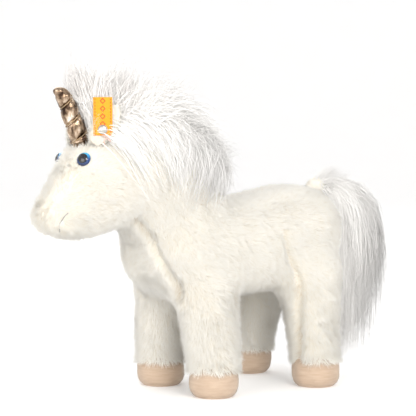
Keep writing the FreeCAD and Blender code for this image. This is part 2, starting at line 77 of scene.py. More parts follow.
CLOTH_BEND_STIFFNESS = 0.5
CLOSED_ROUNDS = 14         # smoothing rounds for the swollen skin
SEAM_DEPTH = 2.2 * MM
SEAM_WIDTH = 2.4 * MM
SEAM_POINTS = 24
LEG_CUT = 66 * MM          # horizontal planes that part the legs from the torso
HOOF_LINE = 21 * MM        # the pile cloth ends here, just inside the hoof's top
NECK_WAY = Vector((0, -0.70, 0.714)).normalized()
NECK_CUTS = (0.1095, 0.1395, 0.1775)

# Filling that the joints' rooms leave out: centre and half sizes of the left one
SHOULDER_PLUG = ((26, -32, 76), (20.5, 27, 26))
HIP_PLUG = ((28, 65, 84), (21, 31, 30))
NECK_PLUG = ((0, -40, 131), (37, 33, 30))
NECK_PLUG_POWER = 3.2
ELLIPSOID_POWER = 2.0


def joint_place(name):
    return Vector(JOINTS[name]["pos_m"])


def corner_values(mesh, what):
    """One row of three numbers for every corner of a mesh."""
    flat = np.zeros(len(mesh.vertices) * 3)
    mesh.vertices.foreach_get(what, flat)
    return flat.reshape(-1, 3)


def node_points(name):
    """All corners of a CAD node as an array."""
    return corner_values(NODES[name].data, "co")


def unit(rows):
    """Rows scaled to length one."""
    length = np.linalg.norm(rows, axis=-1, keepdims=True)
    return rows / np.maximum(length, 1e-12)


def smooth_step(low, high, value):
    share = np.clip((value - low) / (high - low), 0, 1)
    return share * share * (3 - 2 * share)


# ---- meshes

def link(data, name):
    """New object in the scene for a mesh, lamp or camera."""
    piece = bpy.data.objects.new(name, data)
    bpy.context.scene.collection.objects.link(piece)
    return piece


def mesh_from_arrays(name, points, corners, sizes, uv=None):
    """Mesh object from arrays: points, face corners one after another, face sizes."""
    mesh = bpy.data.meshes.new(name)
    mesh.vertices.add(len(points))
    mesh.vertices.foreach_set("co", np.asarray(points, np.float32).ravel())
    mesh.loops.add(len(corners))
    mesh.loops.foreach_set("vertex_index", np.asarray(corners, np.int32))
    mesh.polygons.add(len(sizes))
    starts = np.concatenate(([0], np.cumsum(sizes)[:-1]))
    mesh.polygons.foreach_set("loop_start", starts.astype(np.int32))
    mesh.polygons.foreach_set("use_smooth", np.ones(len(sizes), bool))
    if uv is not None:
        layer = mesh.uv_layers.new(name="OFBake")
        layer.data.foreach_set("uv", np.asarray(uv, np.float32)[corners].ravel())
    mesh.update(calc_edges=True)
    mesh.validate()
    return link(mesh, name)


def dress(piece, material):
    """Gives a piece its material."""
    piece.data.materials.append(material)
    return piece


def fix_to(piece, body, material, slot, *nodes):
    """Dresses a piece, fixes it to a body and hides the CAD nodes it stands for."""
    dress(piece, material)
    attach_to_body(piece, body)
    if nodes:
        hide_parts(*nodes)


def apply_modifiers(piece):
    """Bakes the modifiers into the mesh."""
    graph = bpy.context.evaluated_depsgraph_get()
    mesh = bpy.data.meshes.new_from_object(piece.evaluated_get(graph))
    piece.modifiers.clear()
    old = piece.data
    piece.data = mesh
    bpy.data.meshes.remove(old)
    return piece


def mesh_points(piece):
    return corner_values(piece.data, "co")


def mesh_normals(piece):
    return corner_values(piece.data, "normal")


def triangles(mesh):
    """Corner indices of the mesh's triangles."""
    mesh.calc_loop_triangles()
    flat = np.zeros(len(mesh.loop_triangles) * 3, np.int32)
    mesh.loop_triangles.foreach_get("vertices", flat)
    return flat.reshape(-1, 3)


def set_points(piece, points):
    piece.data.vertices.foreach_set("co", np.asarray(points, np.float32).ravel())
    piece.data.update()


def relax(piece, rounds, strength=0.5):
    """Moves every corner towards the mean of its neighbours."""
    data = piece.data
    ends = np.zeros(len(data.edges) * 2, np.int32)
    data.edges.foreach_get("vertices", ends)
    ends = ends.reshape(-1, 2)
    count = len(data.vertices)
    valence = np.bincount(ends.ravel(), minlength=count)[:, None]
    points = mesh_points(piece)
    for _ in range(rounds):
        total = np.zeros_like(points)
        for axis in range(3):
            total[:, axis] += np.bincount(ends[:, 0], points[ends[:, 1], axis], count)
            total[:, axis] += np.bincount(ends[:, 1], points[ends[:, 0], axis], count)
        mean = total / np.maximum(valence, 1)
        points = points + (mean - points) * strength
    set_points(piece, points)


def offset(piece, distance):
    set_points(piece, mesh_points(piece) + mesh_normals(piece) * distance)


def remesh(piece, size):
    modifier = piece.modifiers.new("Voxels", "REMESH")
    modifier.mode = "VOXEL"
    modifier.voxel_size = size
    return apply_modifiers(piece)


def subdivide(piece):
    modifier = piece.modifiers.new("Smooth", "SUBSURF")
    modifier.levels = 1
    modifier.render_levels = 1
    return apply_modifiers(piece)


def loops_mesh(name, loops, closed_ends=True):
    """Skin over a stack of closed loops, all with the same number of points."""
    stack, around = loops.shape[:2]
    faces = []
    for row in range(stack - 1):
        for spoke in range(around):
            nxt = (spoke + 1) % around
            low = row * around
            faces.append([low + spoke, low + nxt, low + around + nxt, low + around + spoke])
    if closed_ends:
        faces.append(list(range(around))[::-1])
        faces.append([(stack - 1) * around + spoke for spoke in range(around)])
    corners = [corner for face in faces for corner in face]
    return mesh_from_arrays(name, loops.reshape(-1, 3), corners, [len(face) for face in faces])


def thread(name, line, radius, sides=6):
    """Round thread along a line of points."""
    line = np.asarray(line)
    way = unit(np.gradient(line, axis=0))
    side = unit(np.cross(way, np.array([0.31, 0.17, 0.93])))
    third = np.cross(way, side)
    turn = np.arange(sides) * 2 * math.pi / sides
    ring = side[:, None] * np.cos(turn)[None, :, None] + third[:, None] * np.sin(turn)[None, :, None]
    return loops_mesh(name, line[:, None] + ring * radius)


def joined_meshes(name, meshes):
    """One object holding all the meshes, which are then dropped."""
    body = bmesh.new()
    for mesh in meshes:
        body.from_mesh(mesh)
        bpy.data.meshes.remove(mesh)
    mesh = bpy.data.meshes.new(name)
    body.to_mesh(mesh)
    body.free()
    return link(mesh, name)


def join(name, pieces):
    """One object out of several new ones."""
    meshes = [piece.data for piece in pieces]
    for piece in pieces:
        bpy.data.objects.remove(piece)
    return joined_meshes(name, meshes)


# ---- body skin

def plug_mesh(centre, halves, power):
    """Rounded block; power 2 is an ellipsoid, more is boxier."""
    plug = bmesh.new()
    bmesh.ops.create_uvsphere(plug, u_segments=32, v_segments=20, radius=1.0)
    for vert in plug.verts:
        size = sum(abs(value) ** power for value in vert.co) ** (1 / power)
        vert.co = Vector([(c + v / size * h) * MM for c, v, h in zip(centre, vert.co, halves)])
    mesh = bpy.data.meshes.new("plug")
    plug.to_mesh(mesh)
    plug.free()
    return mesh


def plug_meshes():
    meshes = [plug_mesh(*NECK_PLUG, NECK_PLUG_POWER)]
    for centre, halves in (SHOULDER_PLUG, HIP_PLUG):
        for side in (1, -1):
            place = (centre[0] * side, centre[1], centre[2])
            meshes.append(plug_mesh(place, halves, ELLIPSOID_POWER))
    return meshes


def swollen_solid(name, grow):
    """Copy of a CAD solid with every corner moved outwards by grow."""
    single = bmesh.new()
    single.from_mesh(NODES[name].data)
    bmesh.ops.remove_doubles(single, verts=single.verts, dist=1e-6)
    bmesh.ops.recalc_face_normals(single, faces=single.faces)
    single.normal_update()
    moves = [(vert, vert.normal * grow) for vert in single.verts]
    for vert, shift in moves:
        vert.co += shift
    mesh = bpy.data.meshes.new("solid")
    single.to_mesh(mesh)
    single.free()
    return mesh


def puff(piece, held):
    """Short cloth run with inner pressure; held corners stay where they are.

    Every corner's way is cut off at the cap, so that the toy keeps its size.
    """
    scene = bpy.context.scene
    before = mesh_points(piece)
    group = piece.vertex_groups.new(name="held")
    group.add([int(index) for index in np.nonzero(held)[0]], 1.0, "REPLACE")
    cloth = piece.modifiers.new("Puff", "CLOTH")
    settings = cloth.settings
    settings.use_pressure = True
    settings.uniform_pressure_force = PUFF_PRESSURE
    settings.effector_weights.gravity = 0
    settings.vertex_group_mass = "held"
    settings.tension_stiffness = CLOTH_STRETCH_STIFFNESS
    settings.compression_stiffness = CLOTH_STRETCH_STIFFNESS
    settings.bending_stiffness = CLOTH_BEND_STIFFNESS
    settings.mass = PUFF_MASS
    cloth.point_cache.frame_start = 1
    cloth.point_cache.frame_end = PUFF_FRAMES
    for step in range(1, PUFF_FRAMES + 1):
        scene.frame_set(step)
    apply_modifiers(piece)
    scene.frame_set(1)
    move = mesh_points(piece) - before
    length = np.linalg.norm(move, axis=1, keepdims=True)
    share = np.minimum(1, PUFF_CAP / np.maximum(length, 1e-9))
    set_points(piece, before + move * share)


def make_skin():
    """Closed cloth skin over the whole body, smooth where parts join."""
    solids = ["torso_filling", "neck_filling", "head_filling"]
    solids += [leg + "_leg_filling" for leg in LEGS]
    meshes = [swollen_solid(name, CLOSE_GAPS) for name in solids]
    skin = joined_meshes("body_skin", meshes + plug_meshes())
    remesh(skin, VOXEL)
    relax(skin, CLOSED_ROUNDS)
    offset(skin, CLOTH_OUT - CLOSE_GAPS)
    relax(skin, 3)
    lay_seams(skin)
    if FINE:
        offset(skin, -PUFF_TAKEN_BACK)
        remesh(skin, CLOTH_VOXEL)
        points = mesh_points(skin)
        puff(skin, (seam_distance(points) < CLOTH_VOXEL) | (points[:, 2] < HOOF_LINE))
        subdivide(skin)
        relax(skin, 2)
        lay_seams(skin)
    return skin


# ---- seams

CHEST_SEAM = [(17, -91, 134), (21, -85, 120), (27, -73, 98), (28, -61, 84), (24, -51, 74)]
THIGH_SEAM = [(38, 32, 119), (45, 37, 100), (46, 41, 80), (42, 43, 62), (42, 44, 40), (42, 44, 22)]
FACE_SEAM = [(8, -122, 189), (11, -135, 172), (11, -147, 157), (9, -156, 145), (5, -161, 136)]
BACK_SEAM = [(0, -5, 148), (0, 25, 147), (0, 55, 152), (0, 81, 150), (0, 97, 132), (0, 101, 112)]
CHIN_SEAM = [(0, -159, 128), (0, -145, 119), (0, -125, 120), (0, -105, 125), (0, -91, 127)]
MOUTH_HALF = 17.0
MOUTH_LOW = 124.0
MOUTH_RISE = 15.0
MOUTH_THREAD_RADIUS = 0.34 * MM

SEAMS = []                 # filled by lay_seams: points on the skin along every seam


def spread_along(line, count):
    """The same line of straight runs with more points on it."""
    line = np.array(line, float)
    spots = np.linspace(0, len(line) - 1, count)
    marks = np.arange(len(line))
    return np.stack([np.interp(spots, marks, line[:, axis]) for axis in range(3)], axis=1)


def skin_tree(points, corners):
    return BVHTree.FromPolygons([Vector(point) for point in points], corners.tolist())


def lay_seams(skin):
    """Moves every seam onto the skin."""
    tree = skin_tree(mesh_points(skin), triangles(skin.data))
    lines = [BACK_SEAM, CHIN_SEAM]
    for line in (CHEST_SEAM, THIGH_SEAM, FACE_SEAM):
        lines.append(line)
        lines.append([(-x, y, z) for x, y, z in line])
    SEAMS.clear()
    for line in lines:
        dense = spread_along(line, SEAM_POINTS) * MM
        SEAMS.append(np.array([tree.find_nearest(Vector(place))[0] for place in dense]))


def keep_nearer(best, gap):
    """Puts the shorter of two vectors into best, place by place."""
    nearer = (gap ** 2).sum(axis=1) < (best ** 2).sum(axis=1)
    best[nearer] = gap[nearer]


def line_gap(points, line):
    """Shortest vector from a line of straight runs to each point."""
    best = np.full(points.shape, 1.0)
    for start, end in zip(line[:-1], line[1:]):
        way = end - start
        share = np.clip(((points - start) @ way) / (way @ way), 0, 1)
        keep_nearer(best, points - (start + share[:, None] * way))
    return best


def seam_gap(points):
    """Shortest vector from a seam to each point."""
    best = np.full(points.shape, 1.0)
    for line in SEAMS:
        keep_nearer(best, line_gap(points, line))
    return best


def seam_distance(points):
    return np.linalg.norm(seam_gap(points), axis=1)


def face_seam_share(points):
    """One off the face, less on it: the seams of the face hardly show."""
    return 1 - 0.75 * smooth_step(-112 * MM, -122 * MM, points[:, 1])


def press_seams(piece):
    """Pulls the cloth in along the seams."""
    points = mesh_points(piece)
    depth = SEAM_DEPTH * np.exp(-(seam_distance(points) / SEAM_WIDTH) ** 2) * face_seam_share(points)
    set_points(piece, points - mesh_normals(piece) * depth[:, None])


# ---- cutting

def cut_skin(piece):
    """Adds edges along every plane where the skin changes from body to body."""
    body = bmesh.new()
    body.from_mesh(piece.data)
    planes = [(Vector((0, 0, height)), Vector((0, 0, 1))) for height in (LEG_CUT, HOOF_LINE)]
    planes += [(NECK_WAY * place, NECK_WAY) for place in NECK_CUTS]
    for place, normal in planes:
        everything = body.verts[:] + body.edges[:] + body.faces[:]
        bmesh.ops.bisect_plane(body, geom=everything, dist=1e-7, plane_co=place, plane_no=normal)
    bmesh.ops.triangulate(body, faces=body.faces)
    body.to_mesh(piece.data)
    body.free()


REGIONS = ("torso", "neck_low", "neck_high", "head") + LEGS


def region_of(points):
    """Index into REGIONS for each point."""
    region = np.digitize(points @ np.array(NECK_WAY), NECK_CUTS)
    is_leg = points[:, 2] < LEG_CUT
    middle = (joint_place("front_left_leg_swing").y + joint_place("rear_left_leg_swing").y) / 2
    leg = REGIONS.index("front_left") + (points[:, 1] > middle) * 2
    leg = leg + (points[:, 0] < 0)
    return np.where(is_leg, leg, region)


def attach(piece, region):
    """Fixes a torso or head piece to its body; any other piece only has its place baked into its mesh.
    """
    if region in ("torso", "head"):
        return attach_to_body(piece, region)
    if region == "neck_low":
        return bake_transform(piece)
    if region == "neck_high":
        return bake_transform(piece)
    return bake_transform(piece)


STANDS_FOR = {
    "torso": ("torso_cover_left", "torso_cover_right", "chest_and_belly_gusset", "torso_filling"),
    "neck_low": ("neck_cover_left", "neck_cover_right", "throat_panel", "neck_filling"),
    "head": ("head_cover_left", "head_cover_right", "face_gusset", "head_filling"),
}
LEG_NODES = ("_leg_cover_outer", "_leg_cover_inner", "_leg_filling")
for leg_name in LEGS:
    STANDS_FOR[leg_name] = tuple(leg_name + part for part in LEG_NODES)


def split_skin(piece, material):
    """One skin piece for each region; returns what the pile grows from."""
    points = mesh_points(piece)
    corners = triangles(piece.data)
    middle = points[corners].mean(axis=1)
    corners = corners[middle[:, 2] > HOOF_LINE]
    region = region_of(points[corners].mean(axis=1))
    for index, name in enumerate(REGIONS):
        own = corners[region == index]
        used, flat = np.unique(own.ravel(), return_inverse=True)
        part = mesh_from_arrays("cloth_skin_" + name, points[used], flat, np.full(len(own), 3))
        dress(part, material)
        attach(part, name)
        if name in STANDS_FOR:
            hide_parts(*STANDS_FOR[name])
    return points, corners, region


# ---- hair meshes

def hair_piece(name, points, normals, uv, corners, sizes):
    """Hair mesh lit by the given directions, so that the pile looks soft and even."""
    piece = mesh_from_arrays(name, points.reshape(-1, 3), corners, sizes, uv.reshape(-1, 2))
    normals = np.asarray(unit(normals.reshape(-1, 3)), np.float32)
    piece.data.normals_split_custom_set_from_vertices(normals)
    return piece


def spikes(name, roots, ways, lengths, widths, tint, facing):
    """Straight three-sided hairs for the short pile."""
    count = len(roots)
    side = unit(np.cross(ways, np.roll(facing, 1, axis=1) + 0.1))
    third = np.cross(ways, side)
    points = np.zeros((count, 4, 3))
    normals = np.zeros((count, 4, 3))
    for spoke in range(3):
        angle = 2 * math.pi * spoke / 3
        around = side * math.cos(angle) + third * math.sin(angle)
        points[:, spoke] = roots + around * (widths * 0.5)[:, None]
        normals[:, spoke] = facing + around * 0.6
    points[:, 3] = roots + ways * lengths[:, None]
    normals[:, 3] = facing + ways * 0.3
    uv = np.zeros((count, 4, 2))
    uv[:, :, 0] = tint[:, None]
    uv[:, 3, 1] = 1
    layout = np.array([0, 1, 3, 1, 2, 3, 2, 0, 3])
    corners = (layout[None, :] + np.arange(count)[:, None] * 4).ravel()
    return hair_piece(name, points, normals, uv, corners, np.full(count * 3, 3))


def tubes(name, lines, widths, tint, facing, softness):
    """Tapered three-sided hairs round the given centre lines.

    tint is the hair's place on the colour ramp; height on the hair is the other one.
    """
    count, stations = lines.shape[:2]
    rings = stations - 1
    chord = unit(lines[:, -1] - lines[:, 0])
    side = unit(np.cross(chord, np.roll(facing, 1, axis=1) + 0.1))
    third = unit(np.cross(chord, side))
    points = np.zeros((count, rings * 3 + 1, 3))
    normals = np.zeros_like(points)
    uv = np.zeros((count, rings * 3 + 1, 2))
    uv[:, :, 0] = tint[:, None]
    for ring in range(rings):
        share = ring / rings
        radius = widths * 0.5 * (1 - share) ** 0.6
        for spoke in range(3):
            angle = 2 * math.pi * spoke / 3
            around = side * math.cos(angle) + third * math.sin(angle)
            points[:, ring * 3 + spoke] = lines[:, ring] + around * radius[:, None]
            normals[:, ring * 3 + spoke] = facing * softness + around * (1 - softness)
        uv[:, ring * 3:(ring + 1) * 3, 1] = share
    points[:, -1] = lines[:, -1]
    normals[:, -1] = facing
    uv[:, -1, 1] = 1
    per = rings * 3 + 1
    faces = []
    for ring in range(rings - 1):
        for spoke in range(3):
            nxt = (spoke + 1) % 3
            low = ring * 3
            faces.append([low + spoke, low + nxt, low + 3 + nxt, low + 3 + spoke])
    for spoke in range(3):
        faces.append([per - 4 + spoke, per - 4 + (spoke + 1) % 3, per - 1])
    layout = np.array([corner for face in faces for corner in face])
    sizes = np.tile([len(face) for face in faces], count)
    corners = (layout[None, :] + np.arange(count)[:, None] * per).ravel()
    return hair_piece(name, points, normals, uv, corners, sizes)


def scatter(points, corners, amount, random):
    """Random places spread evenly by area: positions, normals and triangle index."""
    a, b, c = (points[corners[:, k]] for k in range(3))
    cross = np.cross(b - a, c - a)
    area = np.linalg.norm(cross, axis=1) * 0.5
    pick = random.choice(len(corners), size=amount, p=area / area.sum())
    u = random.random(amount)
    v = random.random(amount)
    over = u + v > 1
    u[over] = 1 - u[over]
    v[over] = 1 - v[over]
    place = a[pick] + (b - a)[pick] * u[:, None] + (c - a)[pick] * v[:, None]
    return place, unit(cross[pick]), pick


def smooth_normals(points, corners):
    """Corner normals averaged over neighbouring triangles."""
    a, b, c = (points[corners[:, k]] for k in range(3))
    cross = np.cross(b - a, c - a)
    total = np.zeros_like(points)
    for k in range(3):
        np.add.at(total, corners[:, k], cross)
    return unit(total)


def lumpy(points, size, seed):
    """Smooth random field between about -1 and 1, one value a point."""
    random = np.random.default_rng(seed)
    total = np.zeros(len(points))
    for _ in range(6):
        wave = unit(random.normal(size=3)) * 2 * math.pi / size * random.uniform(0.7, 1.5)
        total += np.sin(points @ wave + random.uniform(0, 2 * math.pi))
    return total / 3.0


def lumpy_vector(points, size, seed):
    return np.stack([lumpy(points, size, seed + k) for k in range(3)], axis=1)


# ---- short pile

def comb_way(points):
    """Direction the short pile lies in at each place."""
    along = points @ np.array(NECK_WAY)
    leg = smooth_step(96 * MM, 66 * MM, points[:, 2])
    head = smooth_step(0.1545, 0.1845, along)
    neck = smooth_step(0.0945, 0.1295, along) * (1 - head)
    body = np.clip(1 - leg - head - neck, 0, 1)
    way = body[:, None] * np.array([0, 0.8, -0.65])
    way = way + leg[:, None] * np.array([0, 0.05, -1.0])
    way = way + neck[:, None] * np.array([0, 0.35, -1.0])
    way = way + head[:, None] * np.array([0, 0.8, -0.25])
    return way


def pile_length(points):
    """Length of the short pile at each place."""
    face = smooth_step(0.1675, 0.2045, points @ np.array(NECK_WAY))
    muzzle = smooth_step(-135 * MM, -153 * MM, points[:, 1])
    leg = smooth_step(70 * MM, 30 * MM, points[:, 2])
    length = 6.8 + 1.4 * leg - 1.2 * face - 1.0 * muzzle * face
    seam = np.exp(-(seam_distance(points) / (2.0 * MM)) ** 2) * face_seam_share(points)
    mouth_gap = np.linalg.norm(line_gap(points, MOUTH_LINE), axis=1)
    mouth = np.exp(-(mouth_gap / (1.6 * MM)) ** 2)
    eye = np.min([np.linalg.norm(points - centre, axis=1) for centre in EYES], axis=0)
    near_eye = smooth_step(11 * MM, 6 * MM, eye)
    return length * (1 - 0.62 * seam) * (1 - 0.5 * mouth) * (1 - 0.3 * near_eye) * MM


def keep_pile(place):
    """No pile where the eyes and the horn stand."""
    keep = np.linalg.norm(place - np.array(HORN_FOOT), axis=1) > BARE_AT_HORN
    for centre in EYES:
        keep &= np.linalg.norm(place - centre, axis=1) > BARE_AT_EYE
    return keep


BARE_AT_HORN = 7.4 * MM
BARE_AT_EYE = 4.6 * MM
PILE_SPREAD = (0.78, 1.14)
PILE_UNEVEN = 0.14
PILE_WIDTHS = (0.42, 0.66)
PARTING_WIDTH = 4.0 * MM
SEAM_SHADE_WIDTH = 1.8 * MM


def short_pile(points, corners, region, amount, material):
    """Short pile over the whole skin, one piece for each region."""
    random = np.random.default_rng(11)
    normals = smooth_normals(points, corners)
    place, _, pick = scatter(points, corners, amount, random)
    keep = keep_pile(place)
    place = place[keep]
    pick = pick[keep]
    normal = unit(normals[corners[pick]].mean(axis=1))
    comb = comb_way(place)
    comb = comb + 0.30 * lumpy_vector(place, 34 * MM, 5) + 0.22 * lumpy_vector(place, 9 * MM, 8)
    comb = comb + 0.20 * lumpy_vector(place, 4 * MM, 14)
    gap = seam_gap(place)
    distance = np.linalg.norm(gap, axis=1)
    parting = np.exp(-(distance / PARTING_WIDTH) ** 2) * face_seam_share(place)
    comb = comb * (1 - parting[:, None]) + 1.3 * parting[:, None] * unit(gap)
    comb = unit(comb - normal * (comb * normal).sum(axis=1, keepdims=True))
    length = pile_length(place) * random.uniform(*PILE_SPREAD, len(place))
    length = length * (1 + PILE_UNEVEN * lumpy(place, 7 * MM, 19))
    way = unit(normal * 0.72 + comb * 0.62 + 0.15 * random.normal(size=place.shape))
    tint = 0.40 + 0.10 * lumpy(place, 26 * MM, 3) + 0.08 * random.normal(size=len(place))
    tint = tint + 0.60 * np.exp(-(distance / SEAM_SHADE_WIDTH) ** 2) * face_seam_share(place)
    tint = np.clip(tint, 0.02, 0.98)
    width = random.uniform(*PILE_WIDTHS, len(place)) * MM
    root = place - normal * 0.3 * MM
    where = region[pick]
    for index, name in enumerate(REGIONS):
        for suffix, own in split_in_two(place, where == index, name):
            piece = spikes("pile_" + name + suffix, root[own], way[own], length[own], width[own],
                           tint[own], normal[own])
            dress(piece, material)
            attach(piece, name)


def split_in_two(place, own, name):
    """The torso's and the head's pile in a left and a right piece, the rest whole."""
    if name in ("torso", "head"):
        left = place[:, 0] > 0
        return [("_left", own & left), ("_right", own & ~left)]
    return [("", own)]


def small_pile(name, base, amount, length, width, comb, material, seed):
    """Short pile on one small piece of its own."""
    random = np.random.default_rng(seed)
    points = mesh_points(base)
    corners = triangles(base.data)
    normals = smooth_normals(points, corners)
    place, _, pick = scatter(points, corners, amount, random)
    normal = unit(normals[corners[pick]].mean(axis=1))
    way = unit(normal * 0.62 + np.array(comb) * 0.55 + 0.15 * random.normal(size=place.shape))
    lengths = random.uniform(0.75, 1.15, amount) * length
    widths = random.uniform(0.8, 1.2, amount) * width
    tint = np.clip(0.42 + 0.08 * random.normal(size=amount), 0.02, 0.98)
    piece = spikes(name, place - normal * 0.1 * length, way, lengths, widths, tint, normal)
    return dress(piece, material)


# ---- long hair

def bezier(start, control, end, rings):
    """Centre lines of hairs that start, lean and end as told."""
    share = np.linspace(0, 1, rings + 1)[None, :, None]
    first = start[:, None] * (1 - share) ** 2
    second = control[:, None] * 2 * share * (1 - share)
    return first + second + end[:, None] * share ** 2


def locks(start, control, end, per_lock, spread, random):
    """Many hairs for each guide: wide at the root, gathered at the tip."""
    amount = len(start) * per_lock
    lock = np.repeat(np.arange(len(start)), per_lock)
    root_shift = random.normal(size=(amount, 3)) * spread[0]
    mid_shift = root_shift * 0.6 + random.normal(size=(amount, 3)) * spread[1]
    tip_shift = random.normal(size=(amount, 3)) * spread[2]
    reach = random.uniform(0.66, 1.04, amount)[:, None]
    first = start[lock] + root_shift
    middle = first + (control[lock] - start[lock]) * (0.7 + 0.3 * reach) + mid_shift
    last = first + (end[lock] + tip_shift - first) * reach
    return first, middle, last, lock


def envelope_points(names, amount, random):
    """Random places on the outside of the CAD pile cushions."""
    places = []
    for name in names:
        points = node_points(name)
        corners = triangles(NODES[name].data)
        share = int(amount * NODE_SHARE[name])
        place, _, _ = scatter(points, corners, share, random)
        places.append(place)
    return np.concatenate(places)


HAIR_WIDTHS = (0.36, 0.66)
NODE_SHARE = {"mane_pile": 0.52, "forelock_pile": 0.48, "tail_pile": 1.0}
# The crest that the mane grows from, forelock to withers: (y, z)
CREST = [(-114, 194), (-95, 200), (-62, 201), (-39, 194), (-27, 180), (-16, 164), (-9, 150)]
CREST = np.array(CREST) * MM
CREST_HALF = 12 * MM
MANE_CLEAR = 7 * MM        # lock ends nearer the skin than this are left out
MANE_CEILING = 253.5 * MM
NECK_HEART_IN = 30 * MM    # from the crest to the middle of the neck
WISP_SHARE = 0.12
MANE_HEART = np.array([0, -62, 165]) * MM
TAIL_HEART = np.array([0, 118, 110]) * MM
TAIL_FLOOR = 8 * MM


def crest_place(share):
    """Point on the crest line; share runs from 0 at the forelock to 1 at the withers."""
    gaps = np.linalg.norm(np.diff(CREST, axis=0), axis=1)
    length = np.concatenate(([0], np.cumsum(gaps)))
    length = length / length[-1]
    return np.stack([np.interp(share, length, CREST[:, axis]) for axis in (0, 1)], axis=1)


def crest_share(places):
    """Share of the crest line nearest to each place, seen from the side."""
    shares = np.linspace(0, 1, 120)
    line = crest_place(shares)
    gap = np.linalg.norm(places[:, None, 1:] - line[None], axis=2)
    return shares[np.argmin(gap, axis=1)]


def snap(tree, places):
    """Nearest points and normals on the skin, and the distance to it."""
    found = [tree.find_nearest(Vector(place)) for place in places]
    point = np.array([hit[0] for hit in found])
    normal = np.array([hit[1] for hit in found])
    return point, normal, np.array([hit[3] for hit in found])


def side_ends(tree, amount, random):
    """Places just off the sides of the neck, where the lower locks lie."""
    share = random.uniform(0.06, 1.0, amount)
    line = crest_place(share)
    along = crest_place(np.clip(share + 0.02, 0, 1)) - crest_place(share - 0.02)
    out = unit(np.stack([-along[:, 1], along[:, 0]], axis=1))
    angle = random.uniform(0.45, 2.05, amount) * random.choice([-1, 1], amount)
    ends = []
    for (y, z), (out_y, out_z), turn in zip(line, out, angle):
        heart = Vector((0, y - out_y * NECK_HEART_IN, z - out_z * NECK_HEART_IN))
        way = Vector((math.sin(turn), math.cos(turn) * out_y, math.cos(turn) * out_z)).normalized()
        hit = tree.ray_cast(heart, way, 0.09)
        place = hit[0] if hit[0] is not None else heart + way * NECK_HEART_IN
        ends.append(place + way * random.uniform(4, 10) * MM)
    return np.array(ends), np.clip(share - random.uniform(0.06, 0.22, amount), 0, 1)


def forelock_ends(amount, random):
    """Places above and in front of the poll, for the wisps behind the horn."""
    low = np.array([-15, -138, 210]) * MM
    high = np.array([15, -104, 253]) * MM
    return random.uniform(low, high, (amount, 3)), random.uniform(0, 0.06, amount)


def mane_locks(tree, random):
    """Root and end of every lock of mane and forelock."""
    end = envelope_points(("mane_pile", "forelock_pile"), MANE_LOCKS, random)
    end = end[snap(tree, end)[2] > MANE_CLEAR]
    share = np.clip(crest_share(end) - 0.10 + random.normal(0, 0.05, len(end)), 0, 1)
    way = random.uniform(0.98, 1.20, (len(end), 1)) - 0.24 * smooth_step(0.3, 0.75, share)[:, None]
    side, side_share = side_ends(tree, SIDE_LOCKS, random)
    front, front_share = forelock_ends(FORELOCK_WISPS, random)
    stretch = np.concatenate([way, np.ones((len(side), 1)), np.ones((len(front), 1))])
    end = np.concatenate([end, side, front])
    share = np.concatenate([share, side_share, front_share])
    root = np.zeros_like(end)
    root[:, 0] = np.clip(end[:, 0] * 0.45, -CREST_HALF, CREST_HALF)
    root[:, 0] += random.normal(0, 2.5 * MM, len(end))
    root[:, 1:] = crest_place(share)
    start, normal, _ = snap(tree, root)
    wisp = random.random((len(end), 1)) < WISP_SHARE
    stretch = stretch + wisp * random.uniform(0.05, 0.40, (len(end), 1))
    end = start + (end - start) * stretch
    end[:, 2] = np.minimum(end[:, 2], MANE_CEILING)
    return start, normal, end


def long_mane(points, corners, material):
    """Mane and forelock in locks, one piece for each region of the neck and head."""
    random = np.random.default_rng(23)
    tree = skin_tree(points, corners)
    start, normal, end = mane_locks(tree, random)
    way = end - start
    length = np.linalg.norm(way, axis=1, keepdims=True)
    bulge = normal * 0.42 + np.array([0, -0.10, 0.22])
    control = start + way * 0.42 + bulge * length * (0.75 + 0.3 * random.random((len(end), 1)))
    spread = (3.0 * MM, 2.6 * MM, 3.4 * MM)
    first, middle, last, lock = locks(start, control, end, MANE_HAIRS, spread, random)
    last[:, 2] = np.minimum(last[:, 2], MANE_CEILING + 2 * MM)
    lines = bezier(first, middle, last, MANE_RINGS)
    width = random.uniform(*HAIR_WIDTHS, len(first)) * MM
    lock_tint = random.normal(0.32, 0.10, len(start))
    # Painted shade: locks that end high on the mane are tinted greyer.
    lock_tint = lock_tint + 0.30 * smooth_step(205 * MM, 240 * MM, end[:, 2])
    tint = np.clip(lock_tint[lock] + random.normal(0, 0.09, len(first)), 0.02, 0.98)
    facing = unit(lines[:, MANE_RINGS // 2] - MANE_HEART)
    region = np.digitize(first @ np.array(NECK_WAY), NECK_CUTS)
    for index, name in enumerate(("torso", "neck_low", "neck_high", "head")):
        for suffix, half in (("_left", first[:, 0] > 0), ("_right", first[:, 0] <= 0)):
            own = (region == index) & half
            if not own.any():
                continue
            piece = tubes("mane_" + name + suffix, lines[own], width[own], tint[own], facing[own], 0.75)
            dress(piece, material)
            attach(piece, name)
            if suffix == "_left" and name == "head":
                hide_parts("forelock_pile", "forelock_backing")
            if suffix == "_left" and name == "neck_low":
                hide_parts("mane_pile", "mane_backing")


